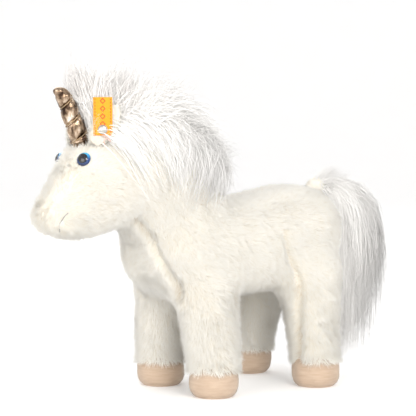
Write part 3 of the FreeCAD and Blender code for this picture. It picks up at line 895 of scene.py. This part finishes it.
def long_tail(material):
    """Tail tuft: locks leave the dock backwards and up, then fall to the tuft's outside."""
    random = np.random.default_rng(31)
    root = joint_place("tail_sway")
    end = envelope_points(("tail_pile",), TAIL_LOCKS, random)
    low_end = envelope_points(("tail_pile",), TAIL_LOCKS * 3, random)
    tip_low = np.array([-13, 116, -22]) * MM
    tip_high = np.array([13, 150, 30]) * MM
    tips = random.uniform(tip_low, tip_high, (TAIL_LOCKS // 2, 3))
    end = np.concatenate([end, low_end[low_end[:, 2] < 70 * MM], tips])
    end[:, 0] = end[:, 0] * random.uniform(0.5, 1.0, len(end)) ** 0.5
    hang = smooth_step(140 * MM, 90 * MM, end[:, 2])
    end[:, 1] = end[:, 1] + random.uniform(-5, 1, len(end)) * MM * hang
    amount = len(end)
    turn = random.uniform(0, 2 * math.pi, amount)
    ring = np.sqrt(random.uniform(0.2, 1.0, amount)) * 6.5 * MM
    start = np.zeros((amount, 3))
    start[:, 0] = np.cos(turn) * ring
    start[:, 1] = root.y + random.uniform(-12, 1, amount) * MM
    start[:, 2] = root.z - 2 * MM + np.sin(turn) * ring * 0.8
    control = np.zeros_like(start)
    low = smooth_step(150 * MM, 40 * MM, end[:, 2])
    control[:, 0] = end[:, 0] * (0.75 + 0.35 * low) + random.normal(0, 3, amount) * MM
    control[:, 1] = end[:, 1] * (0.90 + 0.16 * low) + random.normal(0, 4, amount) * MM
    control[:, 2] = np.maximum(end[:, 2], root.z) + (1 + 12 * low + random.normal(0, 3, amount)) * MM
    way = end - start
    stretch = random.uniform(0.88, 1.05, (amount, 1))
    wisp = random.random((amount, 1)) < WISP_SHARE
    end = start + way * (stretch + wisp * random.uniform(0.02, 0.10, (amount, 1)))
    spread = (1.8 * MM, 3.2 * MM, 3.0 * MM)
    first, middle, last, lock = locks(start, control, end, TAIL_HAIRS, spread, random)
    last[:, 2] = np.maximum(last[:, 2], TAIL_FLOOR)
    lines = bezier(first, middle, last, TAIL_RINGS)
    width = random.uniform(*HAIR_WIDTHS, len(first)) * MM
    lock_tint = random.normal(0.34, 0.10, amount)
    tint = np.clip(lock_tint[lock] + random.normal(0, 0.09, len(first)), 0.02, 0.98)
    facing = unit(lines[:, TAIL_RINGS // 2 + 1] - TAIL_HEART)
    for suffix, own in (("left", first[:, 0] > 0), ("right", first[:, 0] <= 0)):
        piece = tubes("tail_tuft_" + suffix, lines[own], width[own], tint[own], facing[own], 0.75)
        dress(piece, material)
        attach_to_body(piece, "tail_tuft")
        if suffix == "left":
            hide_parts("tail_pile", "tail_core")


def dock(cloth, pile):
    """Stuffed stub that joins the tail to the rump, with pile on it."""
    base = joined_meshes("cloth_skin_dock", [swollen_solid("tail_dock_filling", CLOTH_OUT)])
    remesh(base, 1.5 * MM)
    relax(base, 3)
    fix_to(base, "tail_dock", cloth, "plush_cloth", "tail_dock_cover", "tail_dock_filling")
    comb = (0, 1.2, -0.1)
    fur = small_pile("pile_dock", base, 3500, 3.6 * MM, 0.5 * MM, comb, pile, 41)
    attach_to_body(fur, "tail_dock")


# ---- hooves

# Outline of the hoof against height: (height, radius)
HOOF_SIDE = [(0.7, 13.2), (1.6, 15.2), (3.8, 17.0), (8, 18.1), (14, 18.1), (19, 17.3),
             (22, 16.2), (23.4, 14.8)]
SOLE_SIDE = [(0, 0.5), (0, 13.2), (0.4, 14.2), (1.2, 14.6), (2.0, 14.2)]


def lathe(name, centre, outline, around, lumps, seed):
    """Round body about a vertical line, a little uneven as stuffed cloth is."""
    heights = np.array([height for height, radius in outline])
    radii = np.array([radius for height, radius in outline])
    if lumps:
        fine = np.linspace(0, len(outline) - 1, 24)
        heights = np.interp(fine, np.arange(len(outline)), heights)
        radii = np.interp(fine, np.arange(len(outline)), radii)
    turn = np.arange(around) * 2 * math.pi / around
    loops = np.zeros((len(heights), around, 3))
    loops[:, :, 0] = radii[:, None] * np.cos(turn)
    loops[:, :, 1] = radii[:, None] * np.sin(turn)
    loops[:, :, 2] = heights[:, None]
    flat = loops.reshape(-1, 3)
    swell = 1 + lumps * lumpy(flat, 14, seed) / 18
    flat[:, :2] = flat[:, :2] * swell[:, None]
    loops = flat.reshape(loops.shape) * MM
    loops[:, :, :2] += np.array([centre.x, centre.y])
    return loops_mesh(name, loops)


def hoof(leg, index, velour, nap):
    """Velour wrap, its sole and the short nap on it."""
    low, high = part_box(leg + "_hoof_sole")
    centre = (Vector(low) + Vector(high)) * 0.5
    wrap = lathe("hoof_wrap_" + leg, centre, HOOF_SIDE, 64, 0.35, 50 + index)
    relax(wrap, 2)
    sole = lathe("hoof_sole_" + leg, centre, SOLE_SIDE, 48, 0, 0)
    comb = (0, 0.1, -0.5)
    fur = small_pile("hoof_nap_" + leg, wrap, 9000, 0.8 * MM, 0.16 * MM, comb, nap, 60 + index)
    for piece in (wrap, sole):
        dress(piece, velour)
    for piece in (wrap, sole, fur):
        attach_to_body(piece, leg + "_leg")
    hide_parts(leg + "_hoof_wrap")
    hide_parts(leg + "_hoof_sole")


# ---- horn

HORN_LEAN = 23.5
HORN_LENGTH = 38.0
HORN_WIDE = 7.1
HORN_NARROW = 4.9
THREAD_PITCH = 13.0
THREAD_START = 5.0
THREAD_STOP = 35.0
THREAD_PLY_RADIUS = 0.26 * MM
PLY_SHIFT = 0.22           # from the thread's middle to the middle of each ply
PLY_TURN = 0.9             # climb for one twist of the plies
TIP_BEND_START = 31.0


def horn_frame(local):
    """Places given along X, across and along the horn, in the row frame."""
    lean = math.radians(HORN_LEAN)
    across = np.array([0, math.cos(lean), math.sin(lean)])
    along = np.array([0, -math.sin(lean), math.cos(lean)])
    local = local * MM
    return np.array(HORN_FOOT) + local @ np.array([[1, 0, 0], across, along])


def horn_radius(height):
    return HORN_WIDE + (HORN_NARROW - HORN_WIDE) * np.clip(height / HORN_LENGTH, 0, 1)


def tip_bend(height):
    """The blunt end is folded a little forwards."""
    return 3.0 * np.clip((height - TIP_BEND_START) / 11, 0, 1) ** 2


def horn_cloth(material):
    """Puffed cone, nipped in by the winding thread and creased beside it."""
    rows = 110
    around = 72
    height = np.linspace(-3, HORN_LENGTH + HORN_NARROW, rows)[:, None]
    turn = (np.arange(around) * 2 * math.pi / around)[None, :]
    cap = np.clip((height - HORN_LENGTH) / HORN_NARROW, 0, 0.995)
    radius = horn_radius(height) * np.sqrt(1 - cap ** 2) + 0 * turn
    full = 2 * math.pi
    phase = (turn - full * (height - THREAD_START) / THREAD_PITCH + math.pi) % full - math.pi
    gap = np.abs(phase) / full * THREAD_PITCH
    wound = smooth_step(2, 5, height) * smooth_step(THREAD_STOP + 3, THREAD_STOP, height)
    radius = radius + wound * (1.0 * np.sin(np.abs(phase) / 2) - 1.1 * np.exp(-(gap / 1.2) ** 2))
    radius = radius + 0.8 * np.exp(-((height - 1.6) / 0.8) ** 2)
    creases = np.sin(turn * 11 + 2.2 * np.sin(height * 0.9)) * np.exp(-(gap / 2.2) ** 2) * 0.28 * wound
    radius = radius + creases
    local = np.zeros((rows, around, 3))
    local[:, :, 0] = radius * np.cos(turn)
    local[:, :, 1] = radius * np.sin(turn) - tip_bend(height)
    local[:, :, 2] = height
    flat = local.reshape(-1, 3)
    flat[:, :2] *= 1 + 0.030 * lumpy(flat, 7, 71)[:, None]
    piece = loops_mesh("horn_cloth", horn_frame(flat.reshape(local.shape)))
    fix_to(piece, "horn", material, "horn_lame", "horn_cover", "horn_filling", "horn_base_hem")


def horn_thread(material):
    """Two-ply thread wound round the horn."""
    count = 300
    height = np.linspace(THREAD_START - 3.5, THREAD_STOP, count)
    turn = 2 * math.pi * (height - THREAD_START) / THREAD_PITCH
    plies = []
    for ply in range(2):
        twist = height * 2 * math.pi / PLY_TURN + ply * math.pi
        radius = horn_radius(height) + 0.05 + PLY_SHIFT * np.cos(twist)
        local = np.zeros((count, 3))
        local[:, 0] = radius * np.cos(turn)
        local[:, 1] = radius * np.sin(turn) - tip_bend(height)
        local[:, 2] = height + PLY_SHIFT * np.sin(twist)
        plies.append(thread("ply", horn_frame(local), THREAD_PLY_RADIUS))
    piece = join("horn_thread", plies)
    fix_to(piece, "horn", material, "metal_thread", "horn_winding_thread")


# ---- ears and tag

EAR_WAY = np.array([0.3, 0.4, 0.86])
EAR_FACE = np.array([0.8, -0.6, 0.0])
EAR_LENGTH = 31.0
EAR_OUTLINE = ([0, 0.2, 0.45, 0.7, 0.88, 1.0], [4.0, 6.8, 8.5, 7.2, 4.2, 0.6])
BUTTON_ALONG = 12.0
TAG_WIDTH = 13.5
TAG_BELOW = 4.2
TAG_HEIGHT = 27.0
TAG_DIAMONDS = 5.0
TAG_FRONT = 1.65


def ear_frame():
    """Foot of the left ear, and its across, along and facing directions."""
    along = unit(EAR_WAY)
    return np.array(joint_place("ear_left_flop")), unit(np.cross(along, EAR_FACE)), along, EAR_FACE


def ear_layer(name, scale, front, thickness, flip):
    """One cupped layer of an ear as a closed shell; flip -1 makes the right ear's."""
    foot, across, along, facing = ear_frame()
    rows = 26
    half_loop = np.linspace(-1, 1, 13)
    loop = np.concatenate([half_loop, half_loop[::-1][1:-1]])
    back = np.concatenate([np.zeros(13), np.ones(11)])
    share = np.linspace(0, 1, rows)[:, None]
    width = np.interp(share, *EAR_OUTLINE) * scale
    sideways = width * loop[None, :]
    cup = 2.2 * (loop[None, :] ** 2 - 0.6) * np.sin(math.pi * np.clip(share, 0, 1)) - 1.6 * share ** 2
    depth = front + cup - thickness * back[None, :] * np.sqrt(1 - loop[None, :] ** 2 * 0.96)
    height = share * EAR_LENGTH * scale + 0 * loop[None, :]
    local = np.stack([sideways, height, depth], axis=-1) * MM
    places = foot + local @ np.array([across, along, facing])
    places[..., 0] *= flip
    if flip < 0:
        places = places[:, ::-1]
    return loops_mesh(name, places)


def ear(side, flip, cloth, pile, lining_look):
    """Pile cloth at the back and on the rim, plain lining in the cup."""
    body = "ear_" + side
    back = ear_layer("ear_cloth_" + side, 1.0, -0.3, 1.6, flip)
    lining = ear_layer("ear_lining_" + side + "_cloth", 0.84, 0.25, 0.5, flip)
    comb = np.array([0.2 * flip, 0.2, 0.6])
    fur = small_pile("pile_ear_" + side, back, 5200, 4.6 * MM, 0.42 * MM, comb, pile,
                     80 + flip)
    down = small_pile("pile_ear_lining_" + side, lining, 2400, 3.6 * MM, 0.4 * MM, comb, pile,
                      84 + flip)
    dress(back, cloth)
    dress(lining, lining_look)
    for piece in (back, lining, fur, down):
        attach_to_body(piece, body)
    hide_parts("ear_back_" + side)
    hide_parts("ear_lining_" + side)


def button_foot():
    foot, _, along, _ = ear_frame()
    return foot + along * BUTTON_ALONG * MM


def tag(material):
    """Woven tag on the button, slightly curled."""
    facing = EAR_FACE
    sideways = np.array([0.6, 0.8, 0.0])
    columns = 13
    rows = 27
    across = np.linspace(-0.5, 0.5, columns)
    layers = []
    uv = []
    for row in range(rows):
        share = row / (rows - 1)
        front = []
        for back in (0, 1):
            line = across if back == 0 else across[::-1]
            curl = 0.9 * (share - 0.15) ** 2 + 0.5 * line * share
            curl = curl + 0.25 * np.sin(line * 7 + share * 3) * share
            depth = TAG_FRONT + curl - 0.35 * back + 0.35
            place = button_foot() + (line[:, None] * TAG_WIDTH * sideways) * MM
            place = place + depth[:, None] * MM * facing
            place[:, 2] += (-TAG_BELOW + share * TAG_HEIGHT) * MM
            front.append(place)
            uv.append(np.stack([line + 0.5, np.full(columns, share)], axis=1))
        layers.append(np.concatenate(front))
    piece = loops_mesh("ear_tag_cloth", np.array(layers))
    flat_uv = np.concatenate(uv)
    layer = piece.data.uv_layers.new(name="OFBake")
    corners = np.zeros(len(piece.data.loops), np.int32)
    piece.data.loops.foreach_get("vertex_index", corners)
    layer.data.foreach_set("uv", flat_uv[corners].astype(np.float32).ravel())
    fix_to(piece, "tag", material, "tag_weave", "ear_tag")


def tag_thread_ends(material):
    """Cut ends of the sewing thread under the button."""
    random = np.random.default_rng(91)
    foot = button_foot() + EAR_FACE * 1.4 * MM - np.array([0, 0, 3.0]) * MM
    ends = []
    for _ in range(7):
        way = np.array([0.6, 0.8, 0]) * random.uniform(-0.1, 1.0)
        way = way + np.array([0, 0, -1]) * random.uniform(0.3, 1.0)
        length = random.uniform(5, 9) * MM
        share = np.linspace(0, 1, 12)[:, None]
        wave = np.sin(share * random.uniform(4, 9)) * random.normal(size=3) * 0.7 * MM
        line = foot + unit(way) * share * length + EAR_FACE * share * 2.5 * MM + wave
        ends.append(thread("end", line, 0.14 * MM, 4))
    piece = join("tag_thread_ends", ends)
    fix_to(piece, "ear_left", material, "tag_weave")


# ---- face

def eye_centres():
    points = node_points("eye_irises")
    left = points[points[:, 0] > 0].mean(axis=0)
    return [left, left * np.array([-1, 1, 1])]


def mouth_line():
    """The mouth stitch: round the muzzle, rising to both corners."""
    share = np.linspace(-1, 1, 81)
    head = BVHTree.FromPolygons([Vector(p) for p in node_points("head_filling")],
                                triangles(NODES["head_filling"].data).tolist())
    line = []
    for value in share:
        start = Vector((MOUTH_HALF * value, -250, MOUTH_LOW + MOUTH_RISE * value ** 4)) * MM
        line.append(np.array(head.ray_cast(start, Vector((0, 1, 0)))[0]))
    return np.array(line)


def mouth_thread(tree, material):
    """Thread laid on the skin, nearly at the tips of the pile at its corners."""
    place, normal, _ = snap(tree, MOUTH_LINE)
    share = np.linspace(-1, 1, len(place))[:, None]
    lift = (0.4 + 3.4 * share ** 12 + 0.4 * np.sin(share * 23)) * MM
    piece = thread("mouth_thread", place + normal * lift, MOUTH_THREAD_RADIUS)
    fix_to(piece, "head", material, "mouth_thread", "mouth_stitch")


HORN_FOOT = joint_place("horn_bend")
EYES = eye_centres()
MOUTH_LINE = mouth_line()


# ---- materials

def new_material(name, colour, roughness):
    """Principled material: returns the material, its node tree and the shader."""
    material = bpy.data.materials.new(name)
    material.use_nodes = True
    tree = material.node_tree
    shader = tree.nodes["Principled BSDF"]
    shader.inputs["Base Color"].default_value = (*colour, 1)
    shader.inputs["Roughness"].default_value = roughness
    return material, tree, shader


def add_node(tree, kind, **settings):
    node = tree.nodes.new(kind)
    for key, value in settings.items():
        setattr(node, key, value)
    return node


def noise_node(tree, scale, detail=3.0, stretch=None):
    """Noise in object space, optionally stretched along the axes."""
    place = add_node(tree, "ShaderNodeTexCoord")
    texture = add_node(tree, "ShaderNodeTexNoise")
    texture.inputs["Scale"].default_value = scale
    texture.inputs["Detail"].default_value = detail
    if stretch:
        mapping = add_node(tree, "ShaderNodeMapping")
        mapping.inputs["Scale"].default_value = stretch
        tree.links.new(place.outputs["Object"], mapping.inputs["Vector"])
        tree.links.new(mapping.outputs["Vector"], texture.inputs["Vector"])
    else:
        tree.links.new(place.outputs["Object"], texture.inputs["Vector"])
    return texture


def ramp_node(tree, source, stops):
    """Colour ramp from a value output."""
    ramp = add_node(tree, "ShaderNodeValToRGB")
    elements = ramp.color_ramp.elements
    while len(elements) < len(stops):
        elements.new(0.5)
    for element, (place, colour) in zip(elements, stops):
        element.position = place
        element.color = (*colour, 1)
    tree.links.new(source, ramp.inputs["Fac"])
    return ramp


def drive(tree, shader, source, stops, socket="Base Color"):
    """Sets a shader input from a colour ramp over a value."""
    ramp = ramp_node(tree, source, stops)
    tree.links.new(ramp.outputs["Color"], shader.inputs[socket])


def uv_outputs(tree):
    """The two UV values as outputs."""
    uv = add_node(tree, "ShaderNodeUVMap", uv_map="OFBake")
    split = add_node(tree, "ShaderNodeSeparateXYZ")
    tree.links.new(uv.outputs["UV"], split.inputs["Vector"])
    return split.outputs["X"], split.outputs["Y"]


def add_bump(tree, shader, source, strength, distance):
    bump = add_node(tree, "ShaderNodeBump")
    bump.inputs["Strength"].default_value = strength
    bump.inputs["Distance"].default_value = distance
    tree.links.new(source, bump.inputs["Height"])
    tree.links.new(bump.outputs["Normal"], shader.inputs["Normal"])


def math_node(tree, operation, first, second):
    """Arithmetic on two values, each an output or a plain number."""
    node = add_node(tree, "ShaderNodeMath", operation=operation)
    for socket, value in zip(node.inputs, (first, second)):
        if isinstance(value, (int, float)):
            socket.default_value = value
        else:
            tree.links.new(value, socket)
    return node.outputs["Value"]


def mix_colours(tree, factor, first, second):
    """Blend of two colours; each may be an output or a plain colour."""
    mix = add_node(tree, "ShaderNodeMix", data_type="RGBA")
    tree.links.new(factor, mix.inputs["Factor"])
    for socket, value in (("A", first), ("B", second)):
        if isinstance(value, tuple):
            mix.inputs[socket].default_value = (*value, 1)
        else:
            tree.links.new(value, mix.inputs[socket])
    return mix.outputs["Result"]


def hair_material(name, root_stops, tip_stops, sheen, glow=0.0):
    """Pile colour from two ramps over the hair's tint, mixed from root to tip.

    The faint glow stands for light that real pile passes on from hair to hair.
    """
    material, tree, shader = new_material(name, (0.9, 0.88, 0.84), 0.7)
    tint, rise = uv_outputs(tree)
    root = ramp_node(tree, tint, root_stops)
    tip = ramp_node(tree, tint, tip_stops)
    height = ramp_node(tree, rise, [(0.0, (0, 0, 0)), (0.75, (1, 1, 1))])
    colour = mix_colours(tree, height.outputs["Color"], root.outputs["Color"], tip.outputs["Color"])
    tree.links.new(colour, shader.inputs["Base Color"])
    shader.inputs["Sheen Weight"].default_value = sheen
    shader.inputs["Sheen Roughness"].default_value = 0.5
    shader.inputs["Specular IOR Level"].default_value = 0.25
    shader.inputs["Emission Color"].default_value = (1.0, 0.97, 0.92, 1)
    shader.inputs["Emission Strength"].default_value = glow
    return material


def pile_material():
    # Painted shade: the roots are darker and warmer than the tips, and tints near 1.0, given along the
    # seams, are dark beige.
    root = [(0.0, (0.94, 0.89, 0.78)), (0.55, (0.92, 0.85, 0.71)), (1.0, (0.50, 0.35, 0.21))]
    tip = [(0.0, (0.985, 0.965, 0.91)), (0.55, (0.98, 0.955, 0.88)), (1.0, (0.76, 0.62, 0.43))]
    return hair_material("short_pile", root, tip, 0.25, 0.02)


def long_hair_material():
    # Tints near 1.0 are greyer; the mane's high locks get them as painted shade.
    root = [(0.0, (0.98, 0.96, 0.93)), (0.5, (0.975, 0.955, 0.925)), (1.0, (0.90, 0.86, 0.82))]
    tip = [(0.0, (0.985, 0.975, 0.955)), (0.5, (0.98, 0.965, 0.945)), (1.0, (0.88, 0.83, 0.81))]
    return hair_material("long_pile", root, tip, 0.3, 0.12)


def velour_nap_material():
    root = [(0.0, (0.48, 0.34, 0.23)), (0.5, (0.53, 0.38, 0.27)), (1.0, (0.58, 0.43, 0.32))]
    tip = [(0.0, (0.52, 0.41, 0.30)), (0.5, (0.58, 0.47, 0.35)), (1.0, (0.64, 0.53, 0.41))]
    return hair_material("velour_nap", root, tip, 0.3)


def skin_material():
    """Woven backing under the pile."""
    material, tree, shader = new_material("backing_cloth", (0.93, 0.89, 0.80), 0.9)
    tone = noise_node(tree, 260)
    drive(tree, shader, tone.outputs["Fac"], [(0.3, (0.90, 0.85, 0.74)), (0.7, (0.95, 0.92, 0.84))])
    add_bump(tree, shader, tone.outputs["Fac"], 0.3, 0.0006)
    return material


def plain_cloth(name, dark, light, scale, stretch, bump):
    """Woven or napped cloth with a grain."""
    material, tree, shader = new_material(name, light, 0.88)
    grain = noise_node(tree, scale, 6.0, stretch)
    cloud = noise_node(tree, scale * 0.09, 2.0)
    mixed = math_node(tree, "MULTIPLY", grain.outputs["Fac"], 0.65)
    mixed = math_node(tree, "ADD", mixed, math_node(tree, "MULTIPLY", cloud.outputs["Fac"], 0.35))
    drive(tree, shader, mixed, [(0.36, dark), (0.66, light)])
    shader.inputs["Sheen Weight"].default_value = 0.35
    add_bump(tree, shader, grain.outputs["Fac"], bump, 0.0008)
    return material


def lame_material():
    """Thin gold cloth with a metal gleam; its colour carries painted shade in the creases and painted
    reflections between them.
    """
    material, tree, shader = new_material("gold_lame", (0.50, 0.38, 0.28), 0.22)
    shader.inputs["Metallic"].default_value = 0.95
    weave = noise_node(tree, 1500, 2.0, (1.0, 1.0, 0.3))
    crease_bump_and_painted_light = noise_node(tree, 210, 4.0, (1.0, 1.0, 0.55))
    # Painted light in the colour: near black in the creases as painted shade, pale between them as
    # painted reflection.
    tones = [(0.36, (0.05, 0.03, 0.02)), (0.47, (0.30, 0.21, 0.14)), (0.57, (0.55, 0.43, 0.32)),
             (0.68, (0.92, 0.84, 0.74))]
    drive(tree, shader, crease_bump_and_painted_light.outputs["Fac"], tones)
    fine = math_node(tree, "MULTIPLY", weave.outputs["Fac"], 0.12)
    height = math_node(tree, "ADD", fine, crease_bump_and_painted_light.outputs["Fac"])
    add_bump(tree, shader, height, 0.7, 0.0014)
    return material


def plain_metal(name, colour, roughness):
    material, tree, shader = new_material(name, colour, roughness)
    shader.inputs["Metallic"].default_value = 1.0
    grain = noise_node(tree, 900)
    spread = [(0.3, (roughness - 0.06,) * 3), (0.7, (roughness + 0.06,) * 3)]
    drive(tree, shader, grain.outputs["Fac"], spread, "Roughness")
    return material


def eye_material(name, stops):
    """Glossy moulded eye with painted light: its colour is darker at the bottom and lighter at the top.
    """
    material, tree, shader = new_material(name, stops[0][1], 0.12)
    centre = EYES[0][2]
    place = add_node(tree, "ShaderNodeTexCoord")
    split = add_node(tree, "ShaderNodeSeparateXYZ")
    tree.links.new(place.outputs["Object"], split.inputs["Vector"])
    rise = math_node(tree, "SUBTRACT", split.outputs["Z"], float(centre))
    share = math_node(tree, "ADD", math_node(tree, "MULTIPLY", rise, 1 / (12 * MM)), 0.5)
    drive(tree, shader, share, stops)
    shader.inputs["Coat Weight"].default_value = 0.6
    shader.inputs["Coat Roughness"].default_value = 0.04
    return material


def tag_material():
    """Plain woven tag: two dashed lines and a row of diamonds, no letters."""
    material, tree, shader = new_material("woven_tag", (0.86, 0.40, 0.005), 0.75)
    across, along = uv_outputs(tree)

    def calc(operation, first, second=0.0):
        return math_node(tree, operation, first, second)

    row = calc("FRACT", calc("MULTIPLY", along, TAG_DIAMONDS))
    row_gap = calc("MULTIPLY", calc("ABSOLUTE", calc("SUBTRACT", row, 0.5)), TAG_HEIGHT / TAG_DIAMONDS)
    side_gap = calc("ABSOLUTE", calc("SUBTRACT", across, 0.5))
    diamond = calc("ADD", row_gap, calc("MULTIPLY", side_gap, TAG_WIDTH))
    inside = calc("LESS_THAN", diamond, 2.2)
    hollow = calc("GREATER_THAN", diamond, 1.2)
    dashed = calc("LESS_THAN", calc("FRACT", calc("MULTIPLY", along, 12.0)), 0.6)
    rim = calc("LESS_THAN", calc("ABSOLUTE", calc("SUBTRACT", side_gap, 0.40)), 0.022)
    marks = calc("MAXIMUM", calc("MULTIPLY", inside, hollow), calc("MULTIPLY", dashed, rim))
    weave = noise_node(tree, 1400, 2.0)
    yellows = [(0.3, (0.80, 0.27, 0.003)), (0.7, (0.88, 0.34, 0.010))]
    ground = ramp_node(tree, weave.outputs["Fac"], yellows)
    colour = mix_colours(tree, marks, ground.outputs["Color"], (0.70, 0.06, 0.01))
    tree.links.new(colour, shader.inputs["Base Color"])
    add_bump(tree, shader, weave.outputs["Fac"], 0.35, 0.0004)
    return material


def paint_node(node_name, material):
    """Gives a carried-over CAD node its material."""
    data = NODES[node_name].data
    data.materials.clear()
    data.materials.append(material)


# ---- stage

CAMERA_TURN = 53.2           # degrees from straight in front, towards the left side
CAMERA_RISE = 3.1
CAMERA_DISTANCE = 1.2
CAMERA_LENS = 134.9
AIM = Vector((0, 0.015, 0.120))
AIM_RIGHT = -0.0209
AIM_UP = 0.0162
FLOOR_FLAT = 3.0
FLOOR_CURVE = 2.5
WALL_TOP = 6.0
WARM_WHITE = (1.0, 0.985, 0.96)
# Soft boxes: name, turn, rise, distance, size, power
LAMPS = (("key", 72, 26, 1.5, 0.6, 12), ("fill", 20, 8, 1.9, 1.4, 16), ("back", 250, 35, 1.9, 1.4, 11))


def look_at(place, target):
    return (target - place).to_track_quat("-Z", "Y").to_euler()


def away(turn, rise):
    """Direction from the toy towards a camera or lamp, from two angles in degrees."""
    a = math.radians(turn)
    b = math.radians(rise)
    return Vector((math.sin(a) * math.cos(b), -math.cos(a) * math.cos(b), math.sin(b)))


def make_camera():
    turn = math.radians(CAMERA_TURN)
    back = away(CAMERA_TURN, CAMERA_RISE)
    right = Vector((math.cos(turn), math.sin(turn), 0))
    up = back.cross(right)
    aim = AIM + right * AIM_RIGHT + up * AIM_UP
    data = bpy.data.cameras.new("camera")
    data.lens = CAMERA_LENS
    data.sensor_width = 36
    camera = link(data, "camera")
    camera.location = aim + back * CAMERA_DISTANCE
    camera.rotation_euler = look_at(camera.location, aim)
    bpy.context.scene.camera = camera


def area_light(name, turn, rise, distance, size, power):
    """Soft box aimed at the toy; turn and rise as for the camera."""
    data = bpy.data.lights.new(name, "AREA")
    data.size = size
    data.energy = power
    data.color = WARM_WHITE
    lamp = link(data, name)
    lamp.location = AIM + away(turn, rise) * distance
    lamp.rotation_euler = look_at(lamp.location, AIM)


def make_stage():
    """Pale floor that curves up far away, and soft light from all round."""
    steps = [(0.001, 0.0), (1.0, 0.0), (FLOOR_FLAT, 0.0)]
    for step in range(1, 13):
        turn = math.pi / 2 * step / 12
        curve = FLOOR_FLAT + FLOOR_CURVE * math.sin(turn), FLOOR_CURVE * (1 - math.cos(turn))
        steps.append(curve)
    steps.append((FLOOR_FLAT + FLOOR_CURVE, WALL_TOP))
    around = np.arange(96) * 2 * math.pi / 96
    loops = np.array([[(r * math.cos(a), r * math.sin(a), z) for a in around] for r, z in steps])
    floor = loops_mesh("floor", loops[:, ::-1], False)
    material, tree, shader = new_material("floor_paper", (0.90, 0.895, 0.89), 0.85)
    tone = noise_node(tree, 14)
    tones = [(0.3, (0.895, 0.89, 0.885)), (0.7, (0.91, 0.905, 0.90))]
    drive(tree, shader, tone.outputs["Fac"], tones)
    shader.inputs["Emission Color"].default_value = (1.0, 1.0, 1.0, 1)
    shader.inputs["Emission Strength"].default_value = 0.16
    floor.data.materials.append(material)
    world = bpy.data.worlds.new("studio")
    world.use_nodes = True
    background = world.node_tree.nodes["Background"]
    background.inputs["Color"].default_value = (0.99, 0.99, 1.0, 1)
    background.inputs["Strength"].default_value = 0.80
    bpy.context.scene.world = world
    for lamp in LAMPS:
        area_light(*lamp)
    bpy.context.scene.view_settings.view_transform = "Standard"


# ---- build

SHORT_PILE = 250000 if FINE else 90000
MANE_LOCKS = 1000 if FINE else 400
SIDE_LOCKS = 620 if FINE else 250
FORELOCK_WISPS = 70 if FINE else 30
MANE_HAIRS = 18
MANE_RINGS = 5
TAIL_LOCKS = 300 if FINE else 150
TAIL_HAIRS = 20
TAIL_RINGS = 6


def build_body(pile, cloth, hair):
    skin = make_skin()
    press_seams(skin)
    cut_skin(skin)
    points, corners, region = split_skin(skin, cloth)
    bpy.data.objects.remove(skin)
    tree = skin_tree(points, corners)
    short_pile(points, corners, region, SHORT_PILE, pile)
    long_mane(points, corners, hair)
    long_tail(hair)
    dock(cloth, pile)
    grey = plain_cloth("grey_thread", (0.22, 0.20, 0.19), (0.42, 0.39, 0.37), 900, None, 0.3)
    mouth_thread(tree, grey)


def build_fittings(pile, cloth):
    beige = ((0.49, 0.36, 0.26), (0.58, 0.45, 0.34))
    velour = plain_cloth("hoof_velour", *beige, 240, (0.35, 0.35, 3.0), 0.6)
    nap = velour_nap_material()
    for index, leg in enumerate(LEGS):
        hoof(leg, index, velour, nap)
    horn_cloth(lame_material())
    horn_thread(plain_metal("gold_thread", (0.45, 0.33, 0.20), 0.35))
    cream = ((0.84, 0.74, 0.64), (0.93, 0.86, 0.77))
    lining = plain_cloth("ear_lining_cloth", *cream, 500, None, 0.4)
    ear("left", 1, cloth, pile, lining)
    ear("right", -1, cloth, pile, lining)
    tag(tag_material())
    pink = ((0.72, 0.40, 0.34), (0.88, 0.60, 0.52))
    tag_thread_ends(plain_cloth("pink_thread", *pink, 900, None, 0.2))


def dress_kept_nodes():
    """Materials on the CAD solids that the looks keep."""
    # Both ramps run from the eye's bottom to its top; the lighter top is painted light.
    blue = [(0.0, (0.004, 0.01, 0.04)), (0.45, (0.006, 0.05, 0.20)), (0.68, (0.02, 0.30, 0.60)),
            (0.85, (0.10, 0.62, 0.85)), (1.0, (0.25, 0.80, 0.95))]
    black = [(0.0, (0.002, 0.002, 0.002)), (1.0, (0.006, 0.007, 0.010))]
    paint_node("eye_irises", eye_material("eye_blue", blue))
    paint_node("eye_pupils", eye_material("eye_black", black))
    plastic = plain_cloth("white_plastic", (0.70, 0.70, 0.68), (0.82, 0.82, 0.80), 300, None, 0.05)
    paint_node("eye_posts", plastic)
    paint_node("eye_lock_washers", plastic)
    paint_node("tag_button", plain_metal("button_metal", (0.50, 0.48, 0.44), 0.34))


pile_look = pile_material()
cloth_look = skin_material()
build_body(pile_look, cloth_look, long_hair_material())
build_fittings(pile_look, cloth_look)
dress_kept_nodes()
make_camera()
make_stage()
